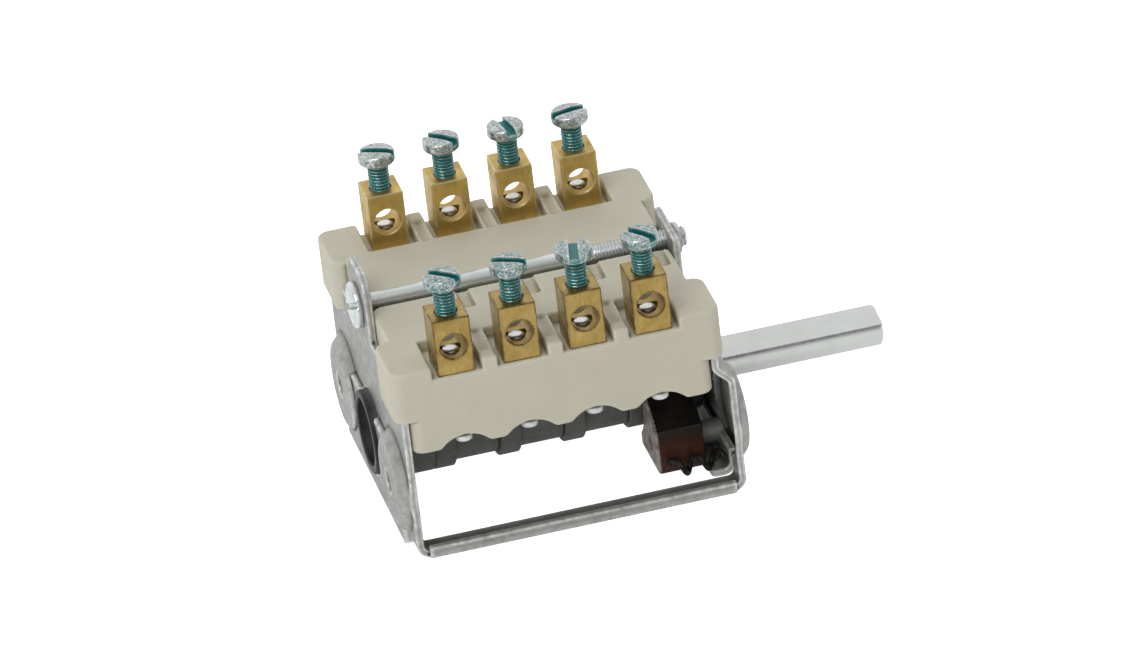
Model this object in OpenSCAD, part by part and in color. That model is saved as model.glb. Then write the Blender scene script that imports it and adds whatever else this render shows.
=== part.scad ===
// Four-pole rotary cam switch: a sheet-steel frame, two ceramic contact blocks with screw
// terminals, a moulded camshaft on a flatted steel shaft, contact bridges and a sprung detent.
// The origin is on the shaft's axis, in the plane of the two faces that meet the panel.
// +X is the way the shaft points and +Z is up. The left side is the -Y side.

/* [Frame] */
// Thickness of the sheet steel
sheet_t = 1; // [0.8:0.1:1.2]
// Length over the outer faces of the two end plates
frame_l = 47; // [46:0.5:52]
// Width of the end plates
frame_w = 44.9; // [44:0.1:48]
// Height of the shaft's axis above the underside of the straps
axis_h = 9; // [8.6:0.1:12]
// Outer radius of the bends between the straps and the plates
bend_r = 2; // [1.4:0.1:2.6]
// Width of the floor of each strap
strap_w = 3.45; // [3:0.05:4.5]
// Height of the upturned edge of each strap
flange_h = 2; // [1.5:0.1:3]
// How far the upturned edge stops short of the plates
flange_gap = 0.6; // [0.4:0.1:2]
// Width of the relief notches beside the straps
relief_w = 1.7; // [1:0.1:2]
// Height of the relief notches
relief_h = 3; // [2.7:0.1:4]
// Height of the shoulders that carry the blocks, above the axis
shoulder_h = 12.5; // [12.2:0.1:13.5]
// Width of the necks between the ends of the blocks
neck_w = 24.6; // [22:0.2:26]
// Height of the necks above the axis
neck_h = 16.4; // [14:0.2:18]
// Width of the two ears
ear_w = 10.8; // [9:0.2:14]
// Height of the rear ear above the axis
rear_ear_h = 26; // [24.5:0.5:28]
// Corner radius of the rear ear
rear_ear_r = 3.5; // [1:0.5:4.5]
// Height of the panel-side ear above the axis
panel_ear_h = 22.6; // [22:0.2:26]
// Width of the set-back upper part of the panel plate
upper_w = 38; // [34:0.5:38]
// How far the upper part of the panel plate is set back
set_back = 2.1; // [1.4:0.1:2.6]
// Height above the axis at which the set-back starts
set_back_h = 8.2; // [7.8:0.1:9]
// Height of the slanting part of the set-back
set_back_rise = 2.4; // [1.6:0.1:3]
// How far the side wings of the panel plate reach above the start of the set-back
wing_h = 1; // [0.5:0.1:2]

/* [Pressed shapes] */
// Height of the pressed-out middle of each plate
press_h = 0.75; // [0.5:0.05:0.8]
// Height of the top edge of the pressed middle above the axis
press_top = 4.4; // [4:0.1:6]
// Radius of the pressed middle round the bosses
press_r = 7; // [6.5:0.1:7.3]
// How much smaller the pressing is on the inside
press_step = 0.4; // [0.3:0.05:0.6]
// Height of the panel bosses above the plain plate
boss_h = 1.6; // [1.2:0.1:2]
// Diameter of the foot of each boss
boss_foot_d = 14.6; // [13:0.2:14.8]
// Diameter of the face of each boss
boss_face_d = 11.2; // [9:0.2:12]
// Distance between the panel screws
screw_pitch = 30; // [28:0.5:30]
// Diameter of the tapped holes in the bosses
panel_hole_d = 3.3; // [2.5:0.1:4.2]

/* [Ceramic blocks] */
// Gap between the inner edges of the two blocks
block_gap = 4.4; // [4.2:0.1:6]
// How far the ends stand past the outer faces of the plates
block_end = 0.95; // [0.3:0.05:1.5]
// Play between a block and what it is clamped by
block_fit = 0.1; // [0.05:0.05:0.2]
// Height of the terminal seats above the shoulders
deck_h = 5.95; // [5:0.05:8]
// Height of the ribs above the terminal seats
rib_h = 1.75; // [1:0.05:3]
// Depth of the walls below the shoulders
skirt_h = 5.05; // [4.5:0.05:5.2]
// Thickness of the deck under the terminals
deck_t = 2; // [1.5:0.1:3]
// Thickness of the outer wall
outer_wall_t = 1.5; // [1:0.1:1.6]
// Thickness of the inner wall
inner_wall_t = 2; // [1.5:0.1:3]
// Width of each contact chamber
chamber_w = 7; // [5:0.1:7.5]
// Width of the slots between the ribs
slot_w = 7.1; // [6:0.1:7.8]
// Length of the slots from the outer face
slot_l = 8.8; // [7.5:0.1:12]
// Radius of the corners of the blocks
block_r = 1.8; // [0.5:0.1:3]
// Distance of each recess in the left block's inner edge from its terminal, along the row
recess_x = 5.65; // [5:0.05:6.2]
// Width of the recesses
recess_w = 1.8; // [1:0.1:2.2]
// Length of the recesses
recess_l = 5.4; // [1.5:0.1:6]
// Depth of the recesses
recess_t = 0.8; // [0.4:0.1:1.5]
// Distance of the dip in the top of each rib from the outer face
dip_out = 2.6; // [1.5:0.1:4]
// Length of the dips
dip_l = 6.5; // [3:0.1:8]
// Depth of the dips
dip_t = 0.5; // [0.3:0.05:0.7]
// Radius across the dips
dip_r = 0.9; // [0.7:0.05:1]

/* [Terminals] */
// Distance between neighbouring terminals
pitch = 9.3; // [8.8:0.1:9.6]
// Distance of the terminals from the middle of the switch
terminal_y = 19.8; // [19.2:0.1:19.9]
// Size of a terminal along the row
terminal_w = 5.3; // [4.8:0.1:6.5]
// Size of a terminal across the row
terminal_d = 5.6; // [5:0.1:6.4]
// Height of a terminal
terminal_h = 8.5; // [8:0.1:10]
// Diameter of the wire hole
wire_d = 3.8; // [3:0.1:4.2]
// Height of the wire hole above the terminal's seat
wire_h = 4.25; // [3.9:0.05:4.6]
// Thread diameter of the terminal screws
screw_d = 3; // [2.8:0.1:3.6]
// Length of the terminal screws under the head
screw_l = 6; // [5.5:0.1:8]
// Diameter of the screw heads
head_d = 5.2; // [4.6:0.1:6.5]
// Height of the screw heads
head_h = 1.9; // [1.5:0.1:2.6]
// How far the terminal screws are backed out
screw_lift = 3.95; // [0:0.05:4]
// Width of the screwdriver slots
driver_w = 0.9; // [0.6:0.1:1.2]
// Depth of the screwdriver slots
driver_t = 1; // [0.6:0.1:1.2]

/* [Contacts] */
// Diameter of the rivets that hold the terminals
rivet_d = 2.3; // [1.8:0.1:2.6]
// Diameter of the posts of the fixed contacts
post_d = 2.8; // [2.6:0.1:3.1]
// Diameter of the silver contact tips
tip_d = 3.2; // [2.9:0.1:3.3]
// Thickness of the tips on the fixed contacts
tip_t = 0.8; // [0.4:0.1:1.5]
// Width of the contact bridges
bridge_w = 2.4; // [2:0.1:2.8]
// Thickness of the contact bridges
bridge_t = 0.8; // [0.5:0.1:1]
// Length of the contact bridges
bridge_l = 45.8; // [44:0.1:46]
// Thickness of the tips on the bridges
button_t = 0.4; // [0.3:0.05:0.8]
// Height of the follower pad under each bridge
follower_t = 0.87; // [0.6:0.01:1.2]
// Length of the follower pad
follower_l = 4; // [2:0.1:8]

/* [Camshaft] */
// Diameter of the cams
cam_d = 14; // [13.4:0.1:14.2]
// Width of each cam
cam_w = 3; // [2.6:0.1:3.6]
// How much a flat of a cam lets its bridge drop
cam_drop = 0.5; // [0.3:0.05:0.6]
// Diameter of the core between the cams
core_d = 12.6; // [11.5:0.1:12.8]
// Diameter of the journal in the rear plate
rear_journal_d = 12; // [11:0.1:12.6]
// How far the rear journal stands out of the plate
journal_out = 0.6; // [0.5:0.1:2.5]
// Diameter of the hollow in the rear journal
hollow_d = 9.7; // [8:0.1:10.4]
// Depth of the hollow
hollow_l = 8; // [4:0.5:12]
// Diameter of the journal in the panel plate
panel_journal_d = 8; // [7.5:0.1:9]
// Radial play of the journals and of the pivot pin
running_fit = 0.05; // [0.03:0.01:0.08]

/* [Shaft] */
// Diameter of the shaft
shaft_d = 6; // [5:0.1:6.4]
// Thickness of the shaft across its flat
shaft_flat = 4.6; // [4:0.1:5]
// How far the shaft stands out in front of the panel faces
shaft_out = 24.3; // [15:0.1:40]
// Chamfer at the end of the shaft
shaft_chamfer = 0.4; // [0.2:0.1:1]
// Turn of the flat from straight up towards the left side
flat_turn = 8; // [0:1:30]

/* [Detent] */
// Diameter of the detent star
star_d = 13.8; // [13.2:0.1:14]
// Depth of the notches in the star
notch_t = 0.5; // [0.3:0.05:0.6]
// Radius of the nose of the pawl
nose_r = 0.9; // [0.7:0.05:1]
// Gap between the nose and its notch
nose_gap = 0.1; // [0.08:0.01:0.15]
// Width of the pawl along the shaft
pawl_w = 6.9; // [5:0.1:7.2]
// Gap between the pawl and the pressed panel plate
pawl_set = 3.35; // [3:0.05:4.5]
// Distance of the left face of the pawl from the axis
pawl_y = 14; // [13.6:0.1:14.2]
// Distance of the right edge of the pawl's foot from the axis
foot_y = 4.5; // [3:0.1:6]
// Height of the foot above the underside of the straps
foot_gap = 0.5; // [0.45:0.05:0.8]
// Distance of the pivot pin from the axis, to the left
pivot_y = 10.2; // [9.8:0.1:10.8]
// Distance of the pivot pin below the axis
pivot_drop = 5.5; // [5.2:0.1:5.8]
// Diameter of the pivot pin
pin_d = 2; // [1.6:0.1:2.4]
// Diameter of the pin's shoulder
pin_shoulder_d = 3.4; // [2.8:0.1:4]
// Outer diameter of the detent spring
spring_d = 3; // [2.4:0.1:3.1]
// Diameter of the spring wire
spring_wire = 0.85; // [0.5:0.05:0.9]
// Length of one turn of the spring
spring_pitch = 3.1; // [2.6:0.1:3.6]

/* [Tie screw] */
// Height of the tie screw above the axis
tie_h = 20; // [19:0.1:20.4]
// Thread diameter of the tie screw
tie_d = 3; // [2.6:0.1:3.4]
// Diameter of its plain shank
tie_shank_d = 2.6; // [2.2:0.1:2.6]
// Length of its thread
tie_thread_l = 13.3; // [8:0.1:20]
// Diameter of its head
tie_head_d = 6.7; // [6:0.1:8]
// Height of its head
tie_head_h = 1.6; // [1.2:0.1:2.2]
// How far it stands out of the collar
tie_out = 0.9; // [0.3:0.1:3]
// Outer diameter of the extruded collar in the panel-side ear
collar_d = 4.4; // [4:0.1:5.5]
// Length of the collar
collar_l = 1; // [0.5:0.1:2]

/* [Hidden] */
$fn = 64;
poles = 4;
star_notches = 12;
// Angles of the screwdriver slots about +Z, from +X
left_slots = [-47, -24, 79, -60];
right_slots = [-27, -30, -81, 2];
tie_slot = 70;
// Angles of the flats of each cam about the axis, from straight up towards the left side
cam_flats = [[240, 300], [210, 270], [240, 330], [270, 300]];
// Cuts run this far past the faces they open
over = 1;
thread_play = 0.05;
neck_fit = 0.3;
cam_gap = 0.08;
cam_clear = 0.8;
arch_gap = 0.35;
tip_gap = 0.2;
wall_gap = 0.75;
side_gap = 0.35;
rivet_proud = 0.05;
pin_recess = 0.6;
dome_r = 6;
pawl_shoulder = 2;
pawl_top = 1;
pawl_crown = 1;
spring_sides = 10;
spring_steps = 24;

// Places along the shaft
plate_out = -boss_h;
plate_in = plate_out - sheet_t;
upper_out = plate_out - set_back;
upper_in = plate_in - set_back;
rear_out = plate_out - frame_l;
rear_in = rear_out + sheet_t;
pressed_out = plate_out + press_h;
pressed_in = plate_in + press_h;
rear_pressed_out = rear_out - press_h;
rear_pressed_in = rear_in - press_h;
mid_x = (rear_in + upper_in) / 2;
clamp_half = (upper_in - rear_in) / 2 - block_fit;
end_half = (upper_in - rear_in) / 2 + sheet_t + block_end;

// Places across the shaft
strap_in = frame_w / 2 - strap_w;
middle_half = strap_in - relief_w;
block_in = block_gap / 2;
chamber_out = terminal_y + tip_d / 2 + tip_gap;
block_out = chamber_out + outer_wall_t;
block_neck = neck_w / 2 + neck_fit;

// Heights from the axis
deck_z = shoulder_h + deck_h;
rib_z = deck_z + rib_h;
skirt_z = shoulder_h - skirt_h;
deck_low = deck_z - deck_t;
bridge_z = cam_d / 2 + cam_gap + follower_t;
bridge_top = bridge_z + bridge_t;
tip_z = bridge_top + button_t;
wire_z = deck_z + wire_h;
terminal_top = deck_z + terminal_h;
head_z = terminal_top + screw_lift;
rivet_top = wire_z - wire_d / 2 + rivet_proud;
foot_z = foot_gap - axis_h;

// Slant of the set-back, and how far its inner corners lie below its outer ones
set_back_a = atan(set_back / set_back_rise);
set_back_shift = sheet_t * tan(set_back_a / 2);

// Slope of a boss, and the radii of the dish inside it
boss_run = (boss_foot_d - boss_face_d) / 2 / boss_h;
dish_shift = sheet_t * sqrt(1 + boss_run * boss_run);

// The star's notches and the nose share one centre
notch_centre = star_d / 2 - notch_t + nose_r + nose_gap;
pawl_x1 = pressed_in - pawl_set;
pawl_x0 = pawl_x1 - pawl_w;
cam_end = mid_x + pole_u(poles - 1) + cam_w / 2;

function pole_u(k) = (k - (poles - 1) / 2) * pitch;

// Solid from x0 to x1 along the shaft, of an outline drawn in Y and Z
module along_x(x0, x1) {
    translate([x0, 0, 0])
        rotate([90, 0, 90])
            linear_extrude(x1 - x0)
                children();
}

// Solid from y0 to y1 across the shaft, of an outline drawn in X and Z
module along_y(y0, y1) {
    translate([0, y1, 0])
        rotate([90, 0, 0])
            linear_extrude(y1 - y0)
                children();
}

// Round bar along the shaft
module bar(x0, x1, d) {
    along_x(x0, x1) circle(d = d);
}

// Rectangle between two corners
module box_2d(x0, y0, x1, y1) {
    translate([x0, y0]) square([x1 - x0, y1 - y0]);
}

// Rectangle whose two corners on the far edge are rounded
module round_top_2d(x0, y0, x1, y1, r) {
    box_2d(x0, y0, x1, y1 - r);
    box_2d(x0 + r, y0, x1 - r, y1);
    for (x = [x0 + r, x1 - r])
        translate([x, y1 - r]) circle(r);
}

// Outline of the pressed middle of a plate, made smaller by step at its top and sides
module pressing_2d(step, low) {
    intersection() {
        box_2d(step - middle_half, low, middle_half - step, press_r);
        union() {
            box_2d(-screw_pitch / 2, low, screw_pitch / 2, press_top - step);
            for (s = [-1, 1])
                translate([s * screw_pitch / 2, 0]) {
                    circle(press_r - step);
                    box_2d(step - press_r, low, press_r - step, 0);
                }
        }
    }
}

// Boss or its inner dish: a cone from radius r at x = 0, as long as len
module boss_cone(r, len) {
    for (s = [-1, 1])
        translate([0, s * screw_pitch / 2, 0])
            rotate([0, 90, 0])
                cylinder(h = len, r1 = r, r2 = r - len * boss_run);
}

// What the press tool raises, from the outer face of a plate at x = 0
module pressing_out() {
    along_x(-sheet_t / 2, press_h) pressing_2d(0, -axis_h);
    boss_cone(boss_foot_d / 2, boss_h);
}

// What it hollows on the inner face, and the holes
module pressing_in(hole_d) {
    along_x(-sheet_t - over, press_h - sheet_t) pressing_2d(press_step, -axis_h - over);
    dish_r = boss_foot_d / 2 - dish_shift + boss_run * sheet_t;
    translate([-sheet_t - over, 0, 0])
        boss_cone(dish_r + over * boss_run, boss_h + over);
    for (s = [-1, 1])
        translate([0, s * screw_pitch / 2, 0])
            bar(-sheet_t - over, boss_h + over, panel_hole_d);
    bar(-sheet_t - over, boss_h + over, hole_d);
}

// Upper outline of a plate: shoulders, neck and ear
module upper_2d(half_w, low, ear_h, ear_r) {
    box_2d(-half_w, low, half_w, shoulder_h);
    box_2d(-neck_w / 2, low, neck_w / 2, neck_h);
    round_top_2d(-ear_w / 2, low, ear_w / 2, ear_h, ear_r);
}

// Lower outline of a plate: the middle between the notches and the strips over the straps
module lower_2d(top) {
    box_2d(-middle_half, -axis_h, middle_half, top);
    box_2d(-frame_w / 2, relief_h - axis_h, frame_w / 2, top);
    for (s = [0, 1])
        mirror([s, 0]) box_2d(strap_in, bend_r - axis_h, frame_w / 2, top);
}

// Side view of the panel plate with its set-back
module panel_side_2d() {
    bend_z = set_back_h + set_back_rise;
    polygon([
        [plate_out, -axis_h],
        [plate_out, set_back_h],
        [upper_out, bend_z],
        [upper_out, panel_ear_h],
        [upper_in, panel_ear_h],
        [upper_in, bend_z - set_back_shift],
        [plate_in, set_back_h - set_back_shift],
        [plate_in, -axis_h]
    ]);
}

// One strap with its two bends, on the right side
module strap() {
    along_y(strap_in, frame_w / 2)
        difference() {
            mirror([0, 1]) round_top_2d(rear_out, -relief_h + axis_h, plate_out, axis_h, bend_r);
            mirror([0, 1])
                round_top_2d(rear_in, -relief_h + axis_h - over, plate_in, axis_h - sheet_t,
                    bend_r - sheet_t);
        }
    along_x(rear_in + flange_gap, plate_in - flange_gap) {
        box_2d(frame_w / 2, sheet_t - axis_h, frame_w / 2 + sheet_t, flange_h - axis_h);
        intersection() {
            translate([frame_w / 2, sheet_t - axis_h]) circle(sheet_t);
            box_2d(frame_w / 2, -axis_h, frame_w / 2 + sheet_t, sheet_t - axis_h);
        }
    }
}

module panel_plate() {
    intersection() {
        along_y(-upper_w / 2, upper_w / 2) panel_side_2d();
        along_x(upper_in, plate_out)
            union() {
                lower_2d(set_back_h);
                upper_2d(upper_w / 2, set_back_h - set_back_shift - over, panel_ear_h, sheet_t / 2);
            }
    }
    along_x(plate_in, plate_out)
        difference() {
            lower_2d(set_back_h + wing_h);
            box_2d(-upper_w / 2, relief_h - axis_h, upper_w / 2, set_back_h + wing_h + over);
            box_2d(-strap_in, -axis_h - over, strap_in, relief_h - axis_h);
        }
    translate([0, 0, tie_h]) bar(upper_out, upper_out + collar_l, collar_d);
}

module frame() {
    color("silver")
        difference() {
            union() {
                difference() {
                    union() {
                        along_x(rear_out, rear_in)
                            union() {
                                lower_2d(shoulder_h);
                                upper_2d(frame_w / 2, 0, rear_ear_h, rear_ear_r);
                            }
                        panel_plate();
                        translate([plate_out, 0, 0]) pressing_out();
                        translate([rear_out, 0, 0]) mirror([1, 0, 0]) pressing_out();
                    }
                    translate([plate_out, 0, 0])
                        pressing_in(panel_journal_d + 2 * running_fit);
                    translate([rear_out, 0, 0])
                        mirror([1, 0, 0]) pressing_in(rear_journal_d + 2 * running_fit);
                    for (s = [0, 1])
                        mirror([0, s, 0])
                            along_x(rear_out - boss_h - over, over)
                                box_2d(middle_half, -axis_h - over, strap_in, relief_h - axis_h);
                }
                for (s = [0, 1])
                    mirror([0, s, 0]) strap();
            }
            translate([0, 0, tie_h]) {
                bar(rear_out - over, rear_in + over, tie_d + 4 * thread_play);
                bar(upper_in - over, upper_out + collar_l + over, tie_d + 2 * thread_play);
            }
            translate([0, -pivot_y, -pivot_drop])
                bar(plate_in - over, over, pin_d);
        }
}

// Puts what is drawn for the left side, about the middle of the blocks, on either side
module on_side(side) {
    translate([mid_x, 0, 0]) rotate([0, 0, side == "left" ? 0 : 180]) children();
}

// Place of a pole along the row, in the turned frame of its side
function row_u(k, side) = side == "left" ? pole_u(k) : -pole_u(k);

// Outline of the ends that lie on the shoulders and of the part between the plates
module block_2d(half) {
    mirror([0, 1]) {
        round_top_2d(-half, block_neck, half, block_out, block_r);
        mirror([0, 1])
            round_top_2d(-clamp_half, -block_out + block_r, clamp_half, -block_in, block_r);
    }
}

module block(side) {
    arch_z = bridge_top + arch_gap;
    rise = arch_z - skirt_z;
    arch_r = (chamber_w * chamber_w / 4 + rise * rise) / 2 / rise;
    color("cornsilk")
        on_side(side)
            difference() {
                union() {
                    translate([0, 0, skirt_z]) linear_extrude(rib_z - skirt_z) block_2d(clamp_half);
                    translate([0, 0, shoulder_h]) linear_extrude(rib_z - shoulder_h) block_2d(end_half);
                }
                for (k = [0 : poles - 1])
                    translate([pole_u(k), 0, 0]) {
                        // Slot for the terminal, open to the outer face
                        translate([-slot_w / 2, -block_out - over, deck_z])
                            cube([slot_w, slot_l + over, rib_h + over]);
                        // Contact chamber, open below
                        translate([-chamber_w / 2, -chamber_out, skirt_z - over])
                            cube([chamber_w, chamber_out - block_in - inner_wall_t,
                                deck_low - skirt_z + over]);
                        // Arch in the outer wall for the end of the bridge
                        translate([0, 0, arch_z - arch_r])
                            along_y(-block_out - over, over / 2 - chamber_out)
                                circle(arch_r);
                        // Way for the bridge under the inner wall
                        translate([-chamber_w / 2, -block_in - inner_wall_t - over, skirt_z - over])
                            cube([chamber_w, inner_wall_t + 2 * over,
                                bridge_top + wall_gap - skirt_z + over]);
                        // Recess in the inner top edge, beside the next terminal
                        if (side == "left")
                            translate([recess_x - recess_w / 2, -block_in - recess_l, rib_z - recess_t])
                                cube([recess_w, recess_l + over, recess_t + over]);
                        // Dip in the top of the next rib
                        if (k < poles - 1)
                            translate([pitch / 2, 0, rib_z + dip_r - dip_t])
                                along_y(dip_out - block_out, dip_out + dip_l - block_out) circle(dip_r);
                        // Rivet hole
                        translate([0, -terminal_y, deck_low - over])
                            cylinder(h = deck_t + 2 * over, d = rivet_d + 2 * thread_play);
                    }
            }
}

// Brass terminal with a wire hole through it and a threaded hole down to the wire
module terminal(k, side) {
    color("goldenrod")
        on_side(side)
            translate([row_u(k, side), -terminal_y, 0])
                difference() {
                    translate([-terminal_w / 2, -terminal_d / 2, deck_z])
                        cube([terminal_w, terminal_d, terminal_h]);
                    translate([0, 0, wire_z])
                        along_y(-terminal_d / 2 - over, terminal_d / 2 + over) circle(d = wire_d);
                    translate([0, 0, wire_z])
                        cylinder(h = terminal_h, d = screw_d + 2 * thread_play);
                    translate([0, 0, deck_z - over])
                        cylinder(h = wire_z - deck_z + over, d = rivet_d);
                }
}

// Slotted head with a domed top, its underside at z = 0
module slotted_head(d, h, turn) {
    difference() {
        intersection() {
            cylinder(h = h, d = d);
            translate([0, 0, h - dome_r * d / head_d]) sphere(dome_r * d / head_d);
        }
        rotate([0, 0, turn])
            translate([-d, -driver_w / 2, h - driver_t])
                cube([2 * d, driver_w, driver_t + over]);
    }
}

module terminal_screw(k, side) {
    chamfer = screw_d / 8;
    turn = side == "left" ? left_slots[k] : right_slots[k];
    color("lightsteelblue")
        translate([mid_x + pole_u(k), side == "left" ? -terminal_y : terminal_y, head_z]) {
            slotted_head(head_d, head_h, turn);
            translate([0, 0, chamfer - screw_l]) cylinder(h = screw_l - chamfer, d = screw_d);
            translate([0, 0, -screw_l]) cylinder(h = chamfer, d1 = screw_d - 2 * chamfer, d2 = screw_d);
        }
}

// Rivet through the terminal and the deck, with the contact post and its silver tip below
module fixed_contact(k, side) {
    color("silver")
        on_side(side)
            translate([row_u(k, side), -terminal_y, 0]) {
                translate([0, 0, deck_low]) cylinder(h = rivet_top - deck_low, d = rivet_d);
                translate([0, 0, tip_z + tip_t]) cylinder(h = deck_low - tip_z - tip_t, d = post_d);
                translate([0, 0, tip_z]) cylinder(h = tip_t, d = tip_d);
            }
}

// Strip that joins the contacts of one pole, lying closed on top of its cam
module bridge(k) {
    color("darkkhaki")
        translate([mid_x + pole_u(k), 0, 0]) {
            translate([-bridge_w / 2, -bridge_l / 2, bridge_z]) cube([bridge_w, bridge_l, bridge_t]);
            translate([-bridge_w / 2, -follower_l / 2, bridge_z - follower_t])
                cube([bridge_w, follower_l, follower_t]);
            for (s = [-1, 1])
                translate([0, s * terminal_y, bridge_top]) cylinder(h = button_t, d = tip_d);
        }
}

// Section of the shaft, with the flat turned to its place
module shaft_2d(d, flat) {
    intersection() {
        circle(d = d);
        rotate(flat_turn) box_2d(-d, -d, d, flat - d / 2);
    }
}

// A cam: a disc with a flat for each angle at which its contact opens
module cam(k) {
    x = mid_x + pole_u(k);
    along_x(x - cam_w / 2, x + cam_w / 2)
        difference() {
            circle(d = cam_d);
            for (a = cam_flats[k])
                rotate(a) box_2d(-cam_d, cam_d / 2 - cam_drop, cam_d, cam_d);
        }
}

module camshaft() {
    color("dimgray")
        difference() {
            union() {
                bar(rear_pressed_out - journal_out, rear_in + side_gap, rear_journal_d);
                bar(rear_in + side_gap, mid_x + pole_u(0) - cam_w / 2, cam_d);
                bar(mid_x + pole_u(0), cam_end, core_d);
                for (k = [0 : poles - 1])
                    cam(k);
                along_x(cam_end, pawl_x1)
                    difference() {
                        circle(d = star_d);
                        for (n = [1 : star_notches])
                            rotate(n * 360 / star_notches)
                                translate([notch_centre, 0]) circle(nose_r + nose_gap);
                    }
                bar(pawl_x1, pressed_out + press_h / 2, panel_journal_d);
            }
            bar(rear_pressed_out - journal_out - over, rear_pressed_out - journal_out + hollow_l,
                hollow_d);
            along_x(rear_pressed_out, over) shaft_2d(shaft_d, shaft_flat);
        }
}

module shaft() {
    start = rear_pressed_out - journal_out + hollow_l;
    r = shaft_d / 2;
    color("gainsboro")
        difference() {
            rotate([0, 90, 0])
                rotate_extrude()
                    polygon([
                        [0, start],
                        [r, start],
                        [r, shaft_out - shaft_chamfer],
                        [r - shaft_chamfer, shaft_out],
                        [0, shaft_out]
                    ]);
            along_x(start - over, shaft_out + over)
                rotate(flat_turn) box_2d(-shaft_d, shaft_flat - r, shaft_d, shaft_d);
        }
}

module tie_screw() {
    tip = upper_out + collar_l + tie_out;
    color("lightsteelblue")
        translate([0, 0, tie_h]) {
            translate([rear_out, 0, 0])
                rotate([0, -90, 0]) slotted_head(tie_head_d, tie_head_h, tie_slot);
            bar(rear_out, tip - tie_thread_l, tie_shank_d);
            bar(tip - tie_thread_l, tip, tie_d);
        }
}

module pivot_pin() {
    color("silver")
        translate([0, -pivot_y, -pivot_drop]) {
            bar(pawl_x0 + pin_recess, pressed_out + press_h / 3, pin_d);
            bar(pawl_x1 + running_fit, pressed_in, pin_shoulder_d);
        }
}

// Pawl that swings on the pivot pin: a foot under the camshaft and a nose in the star
module detent_pawl() {
    color("saddlebrown")
        difference() {
            union() {
                along_x(pawl_x0, pawl_x1)
                    difference() {
                        polygon([
                            [-pawl_y, foot_z],
                            [-foot_y, foot_z],
                            [-foot_y, 0],
                            [-notch_centre, pawl_top],
                            [pawl_crown - pivot_y, pawl_top],
                            [-pawl_y, -pawl_shoulder]
                        ]);
                        circle(cam_d / 2 + cam_clear);
                    }
                along_x(cam_end + side_gap, pawl_x1) {
                    translate([-notch_centre, 0]) circle(nose_r);
                    box_2d(-notch_centre - cam_clear, -nose_r, -notch_centre, nose_r);
                }
            }
            translate([0, -pivot_y, -pivot_drop])
                bar(pawl_x0 - over, pawl_x1 + over, pin_d + 2 * running_fit);
        }
}

// Round wire wound about an axis along X, as rings of points joined by side faces
module coil(len, coil_r, wire_r, turn_l) {
    rings = ceil(len / turn_l * spring_steps);
    slope = atan(turn_l / (2 * PI * coil_r));
    points = [
        for (i = [0 : rings])
            let (a = 360 * len * i / rings / turn_l)
            for (j = [0 : spring_sides - 1])
                let (b = 360 * j / spring_sides,
                    out = coil_r + wire_r * cos(b),
                    side = wire_r * sin(b))
                [len * i / rings + side * cos(slope),
                    out * cos(a) + side * sin(slope) * sin(a),
                    out * sin(a) - side * sin(slope) * cos(a)]
    ];
    sides = [
        for (i = [0 : rings - 1])
            for (j = [0 : spring_sides - 1])
                let (p = i * spring_sides, q = (j + 1) % spring_sides)
                [p + j, p + spring_sides + j, p + spring_sides + q, p + q]
    ];
    first = [for (j = [0 : spring_sides - 1]) j];
    last = [for (j = [spring_sides - 1 : -1 : 0]) rings * spring_sides + j];
    polyhedron(points, concat([first], sides, [last]), convexity = 8);
}

module detent_spring() {
    coil_r = (spring_d - spring_wire) / 2;
    start = pawl_x0 + pin_recess + spring_wire;
    color("darkslategray")
        translate([start, -pawl_y - spring_d / 2 - 2 * neck_fit / 3, foot_z + spring_d / 2])
            coil(plate_in - start - spring_wire / 2, coil_r, spring_wire / 2, spring_pitch);
}

frame();
block("left");  // block_left
block("right");  // block_right
for (k = [0 : poles - 1]) {
    for (side = ["left", "right"]) {
        terminal(k, side);
        terminal_screw(k, side);
        fixed_contact(k, side);
    }
    bridge(k);
}
camshaft();
shaft();
tie_screw();
pivot_pin();
detent_pawl();
detent_spring();
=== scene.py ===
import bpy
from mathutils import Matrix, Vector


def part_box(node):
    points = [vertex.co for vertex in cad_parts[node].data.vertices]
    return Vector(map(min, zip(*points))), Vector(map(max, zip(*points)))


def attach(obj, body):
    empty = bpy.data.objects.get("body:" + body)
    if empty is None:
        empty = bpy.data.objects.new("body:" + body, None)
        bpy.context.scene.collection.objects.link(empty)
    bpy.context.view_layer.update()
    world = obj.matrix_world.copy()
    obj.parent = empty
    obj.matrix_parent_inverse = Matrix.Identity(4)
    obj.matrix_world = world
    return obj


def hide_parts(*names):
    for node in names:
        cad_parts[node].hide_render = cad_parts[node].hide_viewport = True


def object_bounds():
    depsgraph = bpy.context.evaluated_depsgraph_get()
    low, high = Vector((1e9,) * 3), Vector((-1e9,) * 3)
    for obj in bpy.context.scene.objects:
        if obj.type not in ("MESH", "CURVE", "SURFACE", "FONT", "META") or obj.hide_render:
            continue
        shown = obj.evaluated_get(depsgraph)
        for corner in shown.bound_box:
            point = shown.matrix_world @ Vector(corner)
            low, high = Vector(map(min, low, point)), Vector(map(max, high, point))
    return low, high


bl_info = {
    "name": "Rotary cam switch",
    "version": (1, 0, 0),
    "blender": (4, 5, 0),
    "location": "3D View > Sidebar > Switch",
    "description": "Shapes and finishes of a four-pole rotary cam switch, made over its solids",
    "category": "Add Mesh",
}

import math
from types import SimpleNamespace

import bpy
import numpy as np
from bpy.props import FloatProperty, FloatVectorProperty, PointerProperty
from mathutils import Matrix, Vector

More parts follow.
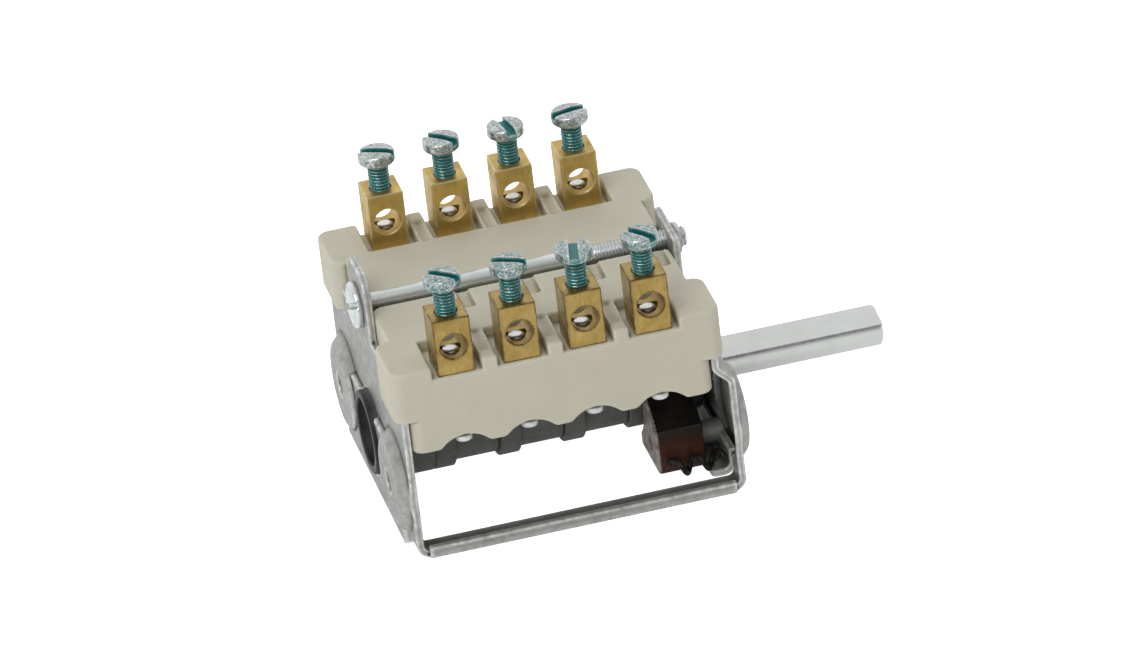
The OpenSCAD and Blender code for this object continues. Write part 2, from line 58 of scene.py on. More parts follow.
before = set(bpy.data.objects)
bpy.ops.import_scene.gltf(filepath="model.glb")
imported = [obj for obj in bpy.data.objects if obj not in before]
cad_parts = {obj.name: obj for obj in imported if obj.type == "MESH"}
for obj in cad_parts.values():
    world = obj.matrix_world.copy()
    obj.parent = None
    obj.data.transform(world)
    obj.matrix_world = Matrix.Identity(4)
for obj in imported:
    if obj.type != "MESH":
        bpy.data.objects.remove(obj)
CAD_BOX = [list(corner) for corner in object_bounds()]
MM = 0.001
SIDES = ("left", "right")
POLES = (1, 2, 3, 4)
# Places of the poles along the row, in pitches from its middle
PLACES = (-1.5, -0.5, 0.5, 1.5)
# Names of the finishes made so far
MADE = set()


# Settings


def length(name, millimetres, text):
    """A length property, its default given in millimetres and kept in metres."""
    return FloatProperty(name=name, description=text, default=millimetres * MM, min=0, precision=5,
                         unit="LENGTH")


def amount(name, default, text, **limits):
    """A plain number property, at least 0 unless its limits say otherwise."""
    return FloatProperty(name=name, description=text, default=default, **{"min": 0, **limits})


def colour(name, default, text):
    """A colour property."""
    return FloatVectorProperty(name=name, description=text, default=default, size=3, min=0, max=1,
                               subtype="COLOR")


def one_angle(name, degrees, text):
    """An angle property, its default given in degrees."""
    return FloatProperty(name=name, description=text, default=math.radians(degrees), unit="ROTATION")


def angles(name, degrees, text):
    """Four angles, one for each pole, with their defaults in degrees."""
    return FloatVectorProperty(name=name, description=text, size=4, unit="ROTATION",
                               default=[math.radians(a) for a in degrees])


class FrameSizes(bpy.types.PropertyGroup):
    """Sizes of the pressed frame"""
    sheet: length("Sheet", 1, "Thickness of the sheet")
    width: length("Width", 44.9, "Width of the end plates")
    strap: length("Strap", 3.45, "Width of each of the two straps")
    relief: length("Relief", 1.7, "Width of the notches beside the straps")
    relief_height: length("Relief height", 3, "Height of the notches above the base")
    bend: length("Bend", 2, "Outer radius of the bends")
    flange: length("Flange", 2, "Height of the upturned outer edge of the straps")
    flange_gap: length("Flange gap", 0.6, "Gap between the upturned edge and the end plates")
    shoulder: length("Shoulder", 12.5, "Height of the shoulders above the shaft's axis")
    neck: length("Neck", 24.6, "Width of the neck between the blocks")
    neck_height: length("Neck height", 16.4, "Height of the neck above the axis")
    ear: length("Ear", 10.8, "Width of the ears that hold the tie screw")
    ear_radius: length("Ear radius", 3.5, "Corner radius of the rear ear")
    panel_ear: length("Panel ear", 22.6, "Height of the ear at the panel end")
    set_back: length("Set-back", 2.1, "How far the upper part of the panel end stands back")
    set_back_height: length("Set-back height", 8.2, "Height at which the set-back starts")
    set_back_rise: length("Set-back rise", 2.4, "Height of its slanted part")
    press: length("Pressing", 0.75, "Height of the raised middle of the end plates")
    press_top: length("Pressing top", 4.4, "Top of the raised middle above the axis")
    press_radius: length("Pressing radius", 7, "Radius of the raised middle about the screw holes")
    boss: length("Boss", 1.6, "Height of the bosses about the screw holes")
    boss_foot: length("Boss foot", 14.6, "Diameter of the bosses at their foot")
    boss_face: length("Boss face", 11.2, "Diameter of the flat face of the bosses")
    screw_pitch: length("Screw pitch", 30, "Distance between the screw holes")
    screw_hole: length("Screw hole", 3.3, "Diameter of the screw holes")
    rear_hole: length("Rear hole", 12.1, "Diameter of the journal hole at the rear")
    panel_hole: length("Panel hole", 8.1, "Diameter of the journal hole at the panel")
    tie_height: length("Tie height", 20, "Height of the tie screw above the axis")
    collar: length("Collar", 4.4, "Diameter of the collar round the tie screw")
    collar_length: length("Collar length", 1, "Length of the collar")
    edge: length("Edge", 0.14, "Rounding of the cut edges")
    lip: length("Lip", 3.7, "Reach of the lip under the panel end, from the plate's outer face")


class BlockSizes(bpy.types.PropertyGroup):
    """Sizes of the ceramic blocks"""
    end: length("End", 2.05, "How far the ends reach over the shoulders")
    neck: length("Neck", 12.6, "Distance of the ends' inner side from the axis")
    radius: length("Radius", 1.8, "Radius of the upright outer corners")
    rib: length("Rib", 1.75, "Height of the ribs between the terminals")
    deck: length("Deck", 2, "Thickness of the deck under the terminals")
    slot_width: length("Slot width", 7.1, "Width of the slot round each terminal")
    slot_length: length("Slot length", 8.8, "Length of that slot")
    chamber: length("Chamber", 7, "Width of the contact chambers")
    outer_wall: length("Outer wall", 1.5, "Thickness of the outer wall")
    inner_wall: length("Inner wall", 2, "Thickness of the inner wall")
    arch: length("Arch", 9.1, "Height of the arches above the axis")
    way: length("Way", 9.5, "Height of the bridges' way under the inner wall")
    recess_place: length("Recess place", 5.65, "Distance of each recess from its pole")
    recess_width: length("Recess width", 1.8, "Width of the recesses in the left block's inner edge")
    recess_length: length("Recess length", 5.4, "Length of the recesses")
    recess_depth: length("Recess depth", 1.1, "Depth of the recesses at their outer end")
    dip_place: length("Dip place", 2.6, "Distance of the dips in the ribs from the outer face")
    dip_length: length("Dip length", 6.5, "Length of the dips")
    dip_depth: length("Dip depth", 0.5, "Depth of the dips")
    dip_radius: length("Dip radius", 0.9, "Radius across the dips")
    edge: length("Edge", 0.42, "Rounding of the ceramic's edges")
    pitch: length("Pitch", 9.3, "Distance between the poles")


class TerminalSizes(bpy.types.PropertyGroup):
    """Sizes of the terminals and their screws"""
    wire: length("Wire hole", 3.8, "Diameter of the wire hole")
    wire_height: length("Wire height", 4.25, "Height of the wire hole above the deck")
    screw: length("Screw", 3, "Diameter of the clamping screws")
    screw_pitch: length("Thread pitch", 0.5, "Pitch of the clamping screws")
    head: length("Head", 5.2, "Diameter of the screw heads")
    head_height: length("Head height", 1.9, "Height of the screw heads")
    dome: length("Dome", 16, "Radius of the domed top of the heads")
    driver_width: length("Driver slot", 1.25, "Width of the driver slots")
    driver_depth: length("Driver depth", 1, "Depth of the driver slots")
    edge: length("Edge", 0.13, "Rounding of the brass edges")
    bridge: length("Bridge", 2.4, "Width of the contact bridges")
    bridge_sheet: length("Bridge sheet", 0.8, "Thickness of the bridges")
    button: length("Button", 0.4, "Height of the buttons on the bridges")
    pad: length("Pad", 4, "Length of the pad under each bridge")
    rivet: length("Rivet", 2.3, "Diameter of the rivets' ends in the wire holes")
    rivet_rise: length("Rivet rise", 0.32, "Height of the rivets' spread ends")
    sink: length("Sink", 0.3, "Width and depth of the sinks round the rivets")
    left_slots: angles("Left slots", (-41, -27, 79, -53), "Angles of the left driver slots")
    right_slots: angles("Right slots", (-27, -45, -81, 10), "Angles of the right driver slots")


class ShaftSizes(bpy.types.PropertyGroup):
    """Sizes of the camshaft, the shaft and the tie screw"""
    cam: length("Cam", 14, "Diameter of the cams")
    cam_width: length("Cam width", 3, "Width of a cam")
    cam_drop: length("Cam drop", 0.5, "Depth of the flats on the cams")
    core: length("Core", 12.6, "Diameter between the cams")
    rear_journal: length("Rear journal", 12, "Diameter of the rear journal")
    panel_journal: length("Panel journal", 8, "Diameter of the panel journal")
    hollow: length("Hollow", 9.7, "Diameter of the hollow in the rear end")
    star: length("Star", 13.8, "Diameter of the star wheel")
    notch: length("Notch", 1, "Radius of the notches of the star wheel")
    notch_depth: length("Notch depth", 0.5, "Depth of those notches")
    chamfer: length("Chamfer", 0.18, "Small chamfers of the moulding")
    side_gap: length("Side gap", 0.35, "Gap between the collars and the end plates")
    shaft: length("Shaft", 6, "Diameter of the shaft")
    flat: length("Flat", 4.6, "Height of the shaft over its flat")
    shaft_chamfer: length("Shaft chamfer", 0.4, "Chamfer of the shaft's end")
    flat_turn: one_angle("Flat turn", 8, "Angle of the flat from straight up")
    tie_thread: length("Tie thread", 3, "Diameter of the tie screw's thread")
    tie_shank: length("Tie shank", 2.6, "Diameter of the tie screw's shank")
    tie_thread_length: length("Thread length", 13.3, "Length of the tie screw's thread")
    tie_head: length("Tie head", 6.7, "Diameter of the tie screw's head")
    tie_head_height: length("Tie head height", 1.6, "Height of the tie screw's head")
    tie_slot: one_angle("Tie slot", 116, "Angle of the tie screw's driver slot")


class DetentSizes(bpy.types.PropertyGroup):
    """Sizes of the detent"""
    pivot_out: length("Pivot out", 10.2, "Distance of the pivot from the shaft's axis, sideways")
    pivot_drop: length("Pivot drop", 5.5, "Depth of the pivot below the shaft's axis")
    pin_hole: length("Pin hole", 2.1, "Diameter of the pivot hole")
    nose: length("Nose", 0.9, "Radius of the nose")
    nose_place: length("Nose place", 7.4, "Distance of the nose from the shaft's axis")
    clear: length("Clear", 7.8, "Radius left free round the cams")
    crown: length("Crown", 1, "Length of the level top past the pivot")
    shoulder: length("Shoulder", 2, "Depth of the near face's top below the shaft's axis")
    wire: length("Wire", 0.85, "Thickness of the spring wire")
    spring_pitch: length("Spring pitch", 3.1, "Pitch of the spring")
    edge: length("Edge", 0.35, "Rounding of the moulding's edges")


class Finishes(bpy.types.PropertyGroup):
    """Colours of the finishes"""
    ceramic: colour("Ceramic", (0.64, 0.61, 0.485), "Body of the ceramic blocks")
    # Colour of grime and of painted shade in the ceramic's hollows, dips and recesses
    ceramic_dirt: colour("Ceramic dirt", (0.26, 0.24, 0.14), "Dust held in the hollows of the ceramic")
    sheet: colour("Sheet", (0.445, 0.445, 0.43), "Zinc coating of the frame")
    sheet_dark: colour("Sheet dark", (0.27, 0.272, 0.262), "Dulled zinc of the frame")
    brass: colour("Brass", (0.58, 0.43, 0.15), "Brass of the left terminals")
    brass_dark: colour("Brass dark", (0.33, 0.215, 0.06), "Tarnish of the left terminals")
    old_brass: colour("Old brass", (0.80, 0.56, 0.17), "Browned brass of the right terminals")
    steel: colour("Steel", (0.77, 0.79, 0.77), "Turned steel of the shaft")
    screw: colour("Screw", (0.72, 0.76, 0.76), "Plated steel of the screws")
    lacquer: colour("Lacquer", (0.012, 0.20, 0.19), "Blue-green chromate in the slots and threads")
    silver: colour("Silver", (0.90, 0.91, 0.91), "Silver of the contacts and rivets")
    black: colour("Black", (0.175, 0.18, 0.17), "Black moulding of the camshaft")
    brown: colour("Brown", (0.10, 0.034, 0.019), "Brown moulding of the detent")
    spring: colour("Spring", (0.02, 0.018, 0.014), "Blued wire of the spring")


class StageSettings(bpy.types.PropertyGroup):
    """Floor, light and camera"""
    lens: amount("Lens", 336.3, "Focal length of the camera in millimetres", min=50, max=1000)
    front_sky: amount("Front sky", 0.19, "Strength of the even light from the camera's side")
    back_sky: amount("Back sky", 0.94, "Strength of the even light from the bright background")
    lamp: amount("Lamp", 2.45, "Power of the large soft lamp", unit="POWER")
    fill: amount("Fill", 0.8, "Power of the low fill lamp", unit="POWER")
    glow: amount("Glow", 0.95, "How much the floor is brightened behind the object")
    bounce: amount("Bounce", 0.17, "Light that the floor itself gives to the object")
    floor: colour("Floor", (0.9, 0.9, 0.9), "Colour of the floor")


GROUPS = {"switch_frame": FrameSizes, "switch_block": BlockSizes, "switch_terminal": TerminalSizes,
          "switch_shaft": ShaftSizes, "switch_detent": DetentSizes, "switch_finish": Finishes,
          "switch_stage": StageSettings}


def sizes(group):
    """The settings of one property group, its lengths in millimetres."""
    source = getattr(bpy.context.scene, group)
    out = {}
    for prop in source.bl_rna.properties:
        if prop.identifier in ("rna_type", "name"):
            continue
        value = getattr(source, prop.identifier)
        out[prop.identifier] = value / MM if prop.unit == "LENGTH" else value
    return SimpleNamespace(**out)


def corners(solid):
    """Lowest and highest corner of a solid, in millimetres."""
    lo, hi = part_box(solid)
    return np.array(lo) / MM, np.array(hi) / MM


# Distance fields: negative inside a shape, positive outside


def ease(t):
    """Smooth step: t held between 0 and 1, then 3 t squared less 2 t cubed."""
    t = np.clip(t, 0, 1)
    return t * t * (3 - 2 * t)


def slab(t, lo, hi):
    """Distance to a slab: distance from its middle less half its thickness."""
    return np.abs(t - (lo + hi) / 2) - (hi - lo) / 2


def rect(u, v, u0, v0, u1, v1, r=0.0):
    """Distance to a rounded rectangle: the overshoot's length outside, the nearer side inside."""
    a = slab(u, u0, u1) + r
    b = slab(v, v0, v1) + r
    return np.hypot(np.maximum(a, 0), np.maximum(b, 0)) + np.minimum(np.maximum(a, b), 0) - r


def disc(u, v, r):
    """Distance to a disc: distance from its centre less its radius."""
    return np.hypot(u, v) - r


def both(a, b, r=0.0):
    """What two shapes share, the edge between them rounded by r."""
    if r == 0:
        return np.maximum(a, b)
    return np.minimum(np.maximum(a, b), -r) + np.hypot(np.maximum(a + r, 0), np.maximum(b + r, 0))


def either(a, b, r=0.0):
    """Two shapes joined, the corner between them filled by a radius r."""
    return -both(-a, -b, r)


def less(a, b, r=0.0):
    """The first shape without the second, the edge between them rounded by r."""
    return both(a, -b, r)


def outline(u, v, points):
    """Distance to a polygon's nearest side, negative where a ray crosses an odd number of sides."""
    u, v = np.broadcast_arrays(u, v)
    nearest = np.full(u.shape, np.inf)
    inside = np.zeros(u.shape, bool)
    for (au, av), (bu, bv) in zip(points, points[1:] + points[:1]):
        du, dv = bu - au, bv - av
        t = np.clip(((u - au) * du + (v - av) * dv) / (du * du + dv * dv), 0, 1)
        nearest = np.minimum(nearest, np.hypot(u - au - t * du, v - av - t * dv))
        if dv:
            inside ^= ((av > v) != (bv > v)) & (u < au + (v - av) * du / dv)
    return np.where(inside, -nearest, nearest)


def ticks(lo, hi, margin, step, fine=0.15, spans=()):
    """Grid lines from a margin before lo to one past hi: step apart, and fine apart within the spans."""
    lines = np.arange(lo - margin, hi + margin + step, step)
    parts = [lines]
    for a, b in spans:
        parts[0] = parts[0][(parts[0] < a) | (parts[0] > b)]
        parts.append(np.arange(a, b + fine / 2, fine))
    lines = np.unique(np.concatenate(parts))
    return lines[np.append(True, np.diff(lines) > 0.6 * fine)]


def around(places, reach):
    """A span of the given reach about each place."""
    return [(p - reach, p + reach) for p in places]


def surface_net(field, xs, ys, zs, settle=2):
    """Closed surface on which a distance field is zero.

    Each grid line's crossing is found by proportion. Each cell that the surface passes gets one point at the
    mean of its crossings, moved onto the surface along the field's slope, and each crossing gets a face
    between the four cells about it."""
    axes = (xs, ys, zs)
    f = field(xs[:, None, None], ys[None, :, None], zs[None, None, :])
    f = np.ascontiguousarray(np.broadcast_to(f, (len(xs), len(ys), len(zs))))
    inside = f < 0
    ids, points = [], []
    for axis in range(3):
        a, b = (axis + 1) % 3, (axis + 2) % 3
        lower = [slice(None)] * 3
        upper = [slice(None)] * 3
        lower[axis], upper[axis] = slice(None, -1), slice(1, None)
        at = np.array(np.nonzero(inside[tuple(lower)] != inside[tuple(upper)]))
        nxt = at.copy()
        nxt[axis] += 1
        f0, f1 = f[tuple(at)], f[tuple(nxt)]
        p = np.stack([axes[c][at[c]] for c in range(3)], axis=1)
        p[:, axis] += (axes[axis][nxt[axis]] - p[:, axis]) * f0 / (f0 - f1)
        ring = []
        for da, db in ((-1, -1), (0, -1), (0, 0), (-1, 0)):
            cell = at.copy()
            cell[a] += da
            cell[b] += db
            ring.append(np.ravel_multi_index(tuple(cell), f.shape))
        ring = np.stack(ring, axis=1)
        outside = ~inside[tuple(at)]
        ring[outside] = ring[outside][:, ::-1]
        ids.append(ring)
        points.append(p)
    ids, points = np.concatenate(ids), np.concatenate(points)
    faces = np.unique(ids, return_inverse=True)[1].reshape(ids.shape)
    count = np.bincount(faces.ravel())
    sums = [np.bincount(faces.ravel(), np.repeat(points[:, c], 4)) for c in range(3)]
    verts = np.stack([total / count for total in sums], axis=1)
    reach = 0.4 * min(np.diff(axis).min() for axis in axes)
    for _ in range(settle):
        slope = gradient(field, verts)
        move = field(*verts.T)[:, None] * slope / np.maximum((slope ** 2).sum(1), 0.25)[:, None]
        size = np.linalg.norm(move, axis=1)[:, None]
        verts = verts - move * np.minimum(1, reach / np.maximum(size, 1e-9))
    return verts, [faces]


def shifts(reach):
    """The three steps of a given reach along the axes."""
    return np.eye(3) * reach


def gradient(field, verts, reach=0.02):
    """Slope of a field at points, from its difference over a small step each way."""
    out = [(field(*(verts + step).T) - field(*(verts - step).T)) / (2 * reach) for step in shifts(reach)]
    return np.stack(out, axis=1)


def bend_of(field, verts, reach=0.45):
    """How sharply the surface turns: sum of the field at six points a little away, positive on edges."""
    total = -6 * field(*verts.T)
    for step in shifts(reach):
        total = total + field(*(verts + step).T) + field(*(verts - step).T)
    return total / reach


def edge_marks(turn, gain=0.8):
    """Marks between 0 and 1 for edges and hollows: how sharply the surface turns each way, times a gain."""
    return {"edge": np.clip(turn * gain, 0, 1), "hollow": np.clip(-turn * gain, 0, 1)}


# Surfaces from rings of points


def full_turn(count):
    """That many equal angles round a circle."""
    return np.linspace(0, 2 * math.pi, count, endpoint=False)


def spin(turn):
    """Matrix that turns rows of points about Z by an angle."""
    c, s = math.cos(turn), math.sin(turn)
    return np.array([[c, -s, 0], [s, c, 0], [0, 0, 1]]).T


def closed_tube(points):
    """Faces between neighbouring rings of points, closed at each end by a fan about the ring's middle."""
    rings, count = points.shape[:2]
    middles = np.stack([points[0].mean(0), points[-1].mean(0)])
    verts = np.concatenate([points.reshape(-1, 3), middles])
    i, j = np.meshgrid(np.arange(rings - 1), np.arange(count), indexing="ij")
    j1 = (j + 1) % count
    side = np.stack([i * count + j, i * count + j1, (i + 1) * count + j1, (i + 1) * count + j], axis=-1)
    j, j1 = j[0], j1[0]
    last = (rings - 1) * count
    ends = np.concatenate([np.stack([np.full(count, rings * count), j1, j], axis=1),
                           np.stack([np.full(count, rings * count + 1), last + j, last + j1], axis=1)])
    return verts, [side.reshape(-1, 4), ends]


def rings_about(x, radius, angle):
    """Rings of points about X, from a column of places along it, radii and angles."""
    y = radius * np.cos(angle)
    return np.stack([np.broadcast_to(x, y.shape), y, radius * np.sin(angle)], axis=-1)


def helix_thread(x0, x1, r, depth, pitch, per_turn=9, count=40, chamfer=0.4):
    """Rings of a screw thread along X: radius r less a rounded V of that depth, one pitch further each turn.

    Gives the rings, and how deep each point lies in the groove, from 0 to 1."""
    x = np.linspace(x0, x1, int((x1 - x0) / pitch * per_turn))[:, None]
    a = full_turn(count)[None, :]
    wave = np.abs(((x / pitch - a / (2 * math.pi)) % 1) * 2 - 1)
    hollow = depth * ease(1.25 * wave - 0.1)
    ends = np.clip(np.minimum(x - x0, x1 - x) / chamfer, 0, 1)
    radius = np.minimum(r - hollow, r - depth * 1.2 * (1 - ends))
    return rings_about(x, radius, a), hollow / depth


def join(*parts):
    """Several surfaces as one list of points and faces."""
    verts, faces, start = [], [], 0
    for v, f in parts:
        verts.append(v)
        faces += [g + start for g in f]
        start += len(v)
    return np.concatenate(verts), faces


def add_piece(name, verts, faces, body, solid, finish, marks=None, normals=None, sharp=None):
    """A mesh object from points in millimetres and arrays of faces, in place of a solid and on its body.

    The marks are numbers for each point, which the finish reads. Edges sharper than the angle stay sharp."""
    mesh = bpy.data.meshes.new(name)
    mesh.vertices.add(len(verts))
    mesh.vertices.foreach_set("co", np.clip(verts * MM, *CAD_BOX).astype(np.float32).ravel())
    flat = np.concatenate([f.ravel() for f in faces]).astype(np.int32)
    sides = np.concatenate([np.full(len(f), f.shape[1]) for f in faces])
    mesh.loops.add(len(flat))
    mesh.polygons.add(len(sides))
    mesh.polygons.foreach_set("loop_start", np.concatenate([[0], np.cumsum(sides)[:-1]]).astype(np.int32))
    mesh.polygons.foreach_set("vertices", flat)
    mesh.polygons.foreach_set("use_smooth", np.ones(len(sides), bool))
    mesh.update(calc_edges=True)
    mesh.validate()
    for mark, values in (marks or {}).items():
        layer = mesh.attributes.new(mark, "FLOAT", "POINT")
        layer.data.foreach_set("value", np.asarray(values, np.float32))
    if sharp is not None:
        mesh.set_sharp_from_angle(angle=math.radians(sharp))
    if normals is not None:
        mesh.normals_split_custom_set_from_vertices(normals.astype(np.float32).tolist())
    mesh.materials.append(finish)
    piece = bpy.data.objects.new(name, mesh)
    bpy.context.scene.collection.objects.link(piece)
    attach(piece, body)
    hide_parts(solid)


def net_pieces(field, grid, body, slot, places, reach=0.45, **rules):
    """A piece for each place from one distance field; a place is name, solid, finish, shift and turn.

    Each rule gives one more mark, or takes the place of the one for edges or hollows."""
    verts, faces = surface_net(field, *grid)
    normals = gradient(field, verts)
    normals /= np.maximum(np.linalg.norm(normals, axis=1), 1e-6)[:, None]
    marks = edge_marks(bend_of(field, verts, reach))
    for mark, rule in rules.items():
        marks[mark] = rule(*verts.T)
    for name, solid, finish, shift, turn in places:
        matrix = spin(turn)
        add_piece(name, verts @ matrix + shift, faces, body, solid, finish, marks, normals @ matrix)


# Finishes


def node(tree, kind, values, **settings):
    """A shader node with its settings; each value is a number, a vector or a socket to link from."""
    made = tree.nodes.new(kind)
    for key, value in settings.items():
        setattr(made, key, value)
    for key, value in values.items():
        if isinstance(value, bpy.types.NodeSocket):
            tree.links.new(value, made.inputs[key])
        else:
            made.inputs[key].default_value = value
    return made


def calc(tree, operation, *values, clamp=False):
    """Result of a maths node, held between 0 and 1 where clamp is set."""
    made = node(tree, "ShaderNodeMath", dict(enumerate(values)), operation=operation, use_clamp=clamp)
    return made.outputs[0]


def noise(tree, place, scale, detail, roughness=0.5):
    """Noise between 0 and 1 at a place."""
    made = node(tree, "ShaderNodeTexNoise", {"Vector": place, "Scale": scale, "Detail": detail,
                                             "Roughness": roughness})
    return made.outputs["Fac"]


def mark_of(tree, name):
    """A mark that the piece carries at each point."""
    return node(tree, "ShaderNodeAttribute", {}, attribute_name=name).outputs["Fac"]


def mix(tree, share, a, b):
    """Colour a going over to colour b by a share."""
    ready = (float, bpy.types.NodeSocket)
    values = {key: value if isinstance(value, ready) else (*value, 1)
              for key, value in ((0, share), (6, a), (7, b))}
    return node(tree, "ShaderNodeMix", values, data_type="RGBA").outputs[2]


def shader_group(name, defaults, outputs=("Mask",)):
    """A new shader node group: its inputs' defaults are numbers, or vectors where they hold three numbers.

    Gives the group, the sockets of its inputs and the sockets of its outputs."""
    tree = bpy.data.node_groups.new(name, "ShaderNodeTree")
    for label, default in defaults.items():
        kind = "NodeSocketVector" if isinstance(default, tuple) else "NodeSocketFloat"
        tree.interface.new_socket(label, in_out="INPUT", socket_type=kind).default_value = default
    for label in outputs:
        tree.interface.new_socket(label, in_out="OUTPUT", socket_type="NodeSocketFloat")
    return tree, tree.nodes.new("NodeGroupInput").outputs, tree.nodes.new("NodeGroupOutput").inputs


def mottle_group(name):
    """Cloudy patches: two sizes of noise added, then spread about their middle by the contrast."""
    tree, given, result = shader_group(name, {"Vector": (0.0, 0.0, 0.0), "Scale": 300.0, "Contrast": 2.0})
    finer, share, middle = 4.3, 0.4, 0.7
    big = noise(tree, given["Vector"], given["Scale"], 4.0, 0.55)
    small = noise(tree, given["Vector"], calc(tree, "MULTIPLY", given["Scale"], finer), 3.0, 0.6)
    centred = calc(tree, "SUBTRACT", calc(tree, "MULTIPLY_ADD", small, share, big), middle)
    spread = calc(tree, "MULTIPLY_ADD", centred, given["Contrast"], 0.5, clamp=True)
    tree.links.new(spread, result["Mask"])
    return tree


def streak_group(name):
    """Drawn or turned lines: noise stretched along one axis, kept where it passes a level."""
    tree, given, result = shader_group(name, {"Vector": (0.0, 0.0, 0.0), "Stretch": (300.0, 3000.0, 3000.0),
                                              "Level": 0.5}, ["Mask", "Height"])
    gain = 8.0
    place = node(tree, "ShaderNodeVectorMath", {0: given["Vector"], 1: given["Stretch"]},
                 operation="MULTIPLY")
    lines = noise(tree, place.outputs[0], 1.0, 3.0, 0.65)
    mask = calc(tree, "MULTIPLY", calc(tree, "SUBTRACT", lines, given["Level"]), gain, clamp=True)
    tree.links.new(mask, result["Mask"])
    tree.links.new(lines, result["Height"])
    return tree


def wear_and_sheen_group(name):
    """Rubbed edges, and painted sheen along edges: the edge mark times the amount, thinned out by twice a
    noise less 0.4.
    """
    tree, given, result = shader_group(name, {"Edge": 0.0, "Vector": (0.0, 0.0, 0.0), "Scale": 900.0,
                                              "Amount": 1.0})
    gap = calc(tree, "MULTIPLY_ADD", noise(tree, given["Vector"], given["Scale"], 3.0), 2.0, -0.4, clamp=True)
    wear_and_sheen_mask = calc(tree, "MULTIPLY", given["Edge"], given["Amount"], clamp=True)
    tree.links.new(calc(tree, "MULTIPLY", wear_and_sheen_mask, gap, clamp=True), result["Mask"])
    return tree


def coat_and_shade_group(name):
    """Patchy colour, for lacquer, grime and painted shade: one and a half times the amount plus noise less
    one, times the sharpness.
    """
    tree, given, result = shader_group(name, {"Amount": 0.0, "Vector": (0.0, 0.0, 0.0), "Scale": 1500.0,
                                              "Sharpness": 5.0})
    patches = noise(tree, given["Vector"], given["Scale"], 2.0)
    over = calc(tree, "SUBTRACT", calc(tree, "MULTIPLY_ADD", given["Amount"], 1.5, patches), 1.0)
    tree.links.new(calc(tree, "MULTIPLY", over, given["Sharpness"], clamp=True), result["Mask"])
    return tree


SHARED = {"Mottle": mottle_group, "Streaks": streak_group, "Wear": wear_and_sheen_group, "Coat": coat_and_shade_group}


def shared(tree, name, values):
    """Outputs of a shared node group, made once and placed in a material with its own values."""
    group = bpy.data.node_groups.get(name) or SHARED[name](name)
    return node(tree, "ShaderNodeGroup", values, node_tree=group).outputs


def make_finish(name, base, dark, patch=300.0, contrast=2.0, wear=None, wear_amount=1.0, dirt=None,
                dirt_amount=0.8, paint=None, paint_scale=1500.0, dusty=False, metallic=0.0, rough=(0.4, 0.6),
                bump=0.1, grain=2500.0, streak=None, streak_mix=0.0, streak_colour=None, streak_level=0.52,
                spec=0.5):
    """A finish: base colour over to dark in patches, then streaks, grime and painted shade in hollows, paint,
    and rubbed edges, which carry painted sheen on some finishes.

    Scales are for places in metres. A soft-edged paint has soft edges; on some finishes the paint is painted
    shade. Paint on metal is mostly not metallic."""
    if name in MADE:
        return bpy.data.materials[name]
    MADE.add(name)
    material = bpy.data.materials.new(name)
    material.use_nodes = True
    tree = material.node_tree
    shader = tree.nodes["Principled BSDF"].inputs
    shader["Metallic"].default_value = metallic
    shader["Specular IOR Level"].default_value = spec
    place = tree.nodes.new("ShaderNodeTexCoord").outputs["Object"]
    mottle = shared(tree, "Mottle", {"Vector": place, "Scale": patch, "Contrast": contrast})["Mask"]
    tint = mix(tree, mottle, base, dark)
    height = noise(tree, place, grain, 3.0)
    if streak:
        lines = shared(tree, "Streaks", {"Vector": place, "Stretch": streak, "Level": streak_level})
        tint = mix(tree, calc(tree, "MULTIPLY", lines["Mask"], streak_mix), tint, streak_colour or dark)
        height = calc(tree, "ADD", lines["Height"], height)
    # Grime and painted shade in the hollows, by the hollow mark
    if dirt:
        tint = mix(tree, calc(tree, "MULTIPLY", mark_of(tree, "hollow"), dirt_amount, clamp=True), tint, dirt)
    if paint:
        coat_and_shade = shared(tree, "Coat", {"Amount": mark_of(tree, "paint"), "Vector": place, "Scale": paint_scale,
                                     "Sharpness": 1.0 if dusty else 6.0})["Mask"]
        tint = mix(tree, coat_and_shade, tint, paint)
        if metallic:
            bare = calc(tree, "MULTIPLY_ADD", coat_and_shade, -0.7 * metallic, metallic)
            tree.links.new(bare, shader["Metallic"])
    # Rubbed edges; on the sheet also a painted highlight along edges and ridges, on the pawl a painted sheen
    # on its end face
    if wear:
        wear_and_sheen_mask = shared(tree, "Wear", {"Edge": mark_of(tree, "edge"), "Vector": place, "Amount": wear_amount})
        tint = mix(tree, wear_and_sheen_mask["Mask"], tint, wear)
    tree.links.new(tint, shader["Base Color"])
    shine = node(tree, "ShaderNodeMapRange", {"Value": mottle, "To Min": rough[0], "To Max": rough[1]})
    tree.links.new(shine.outputs[0], shader["Roughness"])
    relief = node(tree, "ShaderNodeBump", {"Height": height, "Strength": bump, "Distance": 0.0001})
    tree.links.new(relief.outputs[0], shader["Normal"])
    return material


def shade(tint, share):
    """A colour times a share."""
    return tuple(value * share for value in tint)


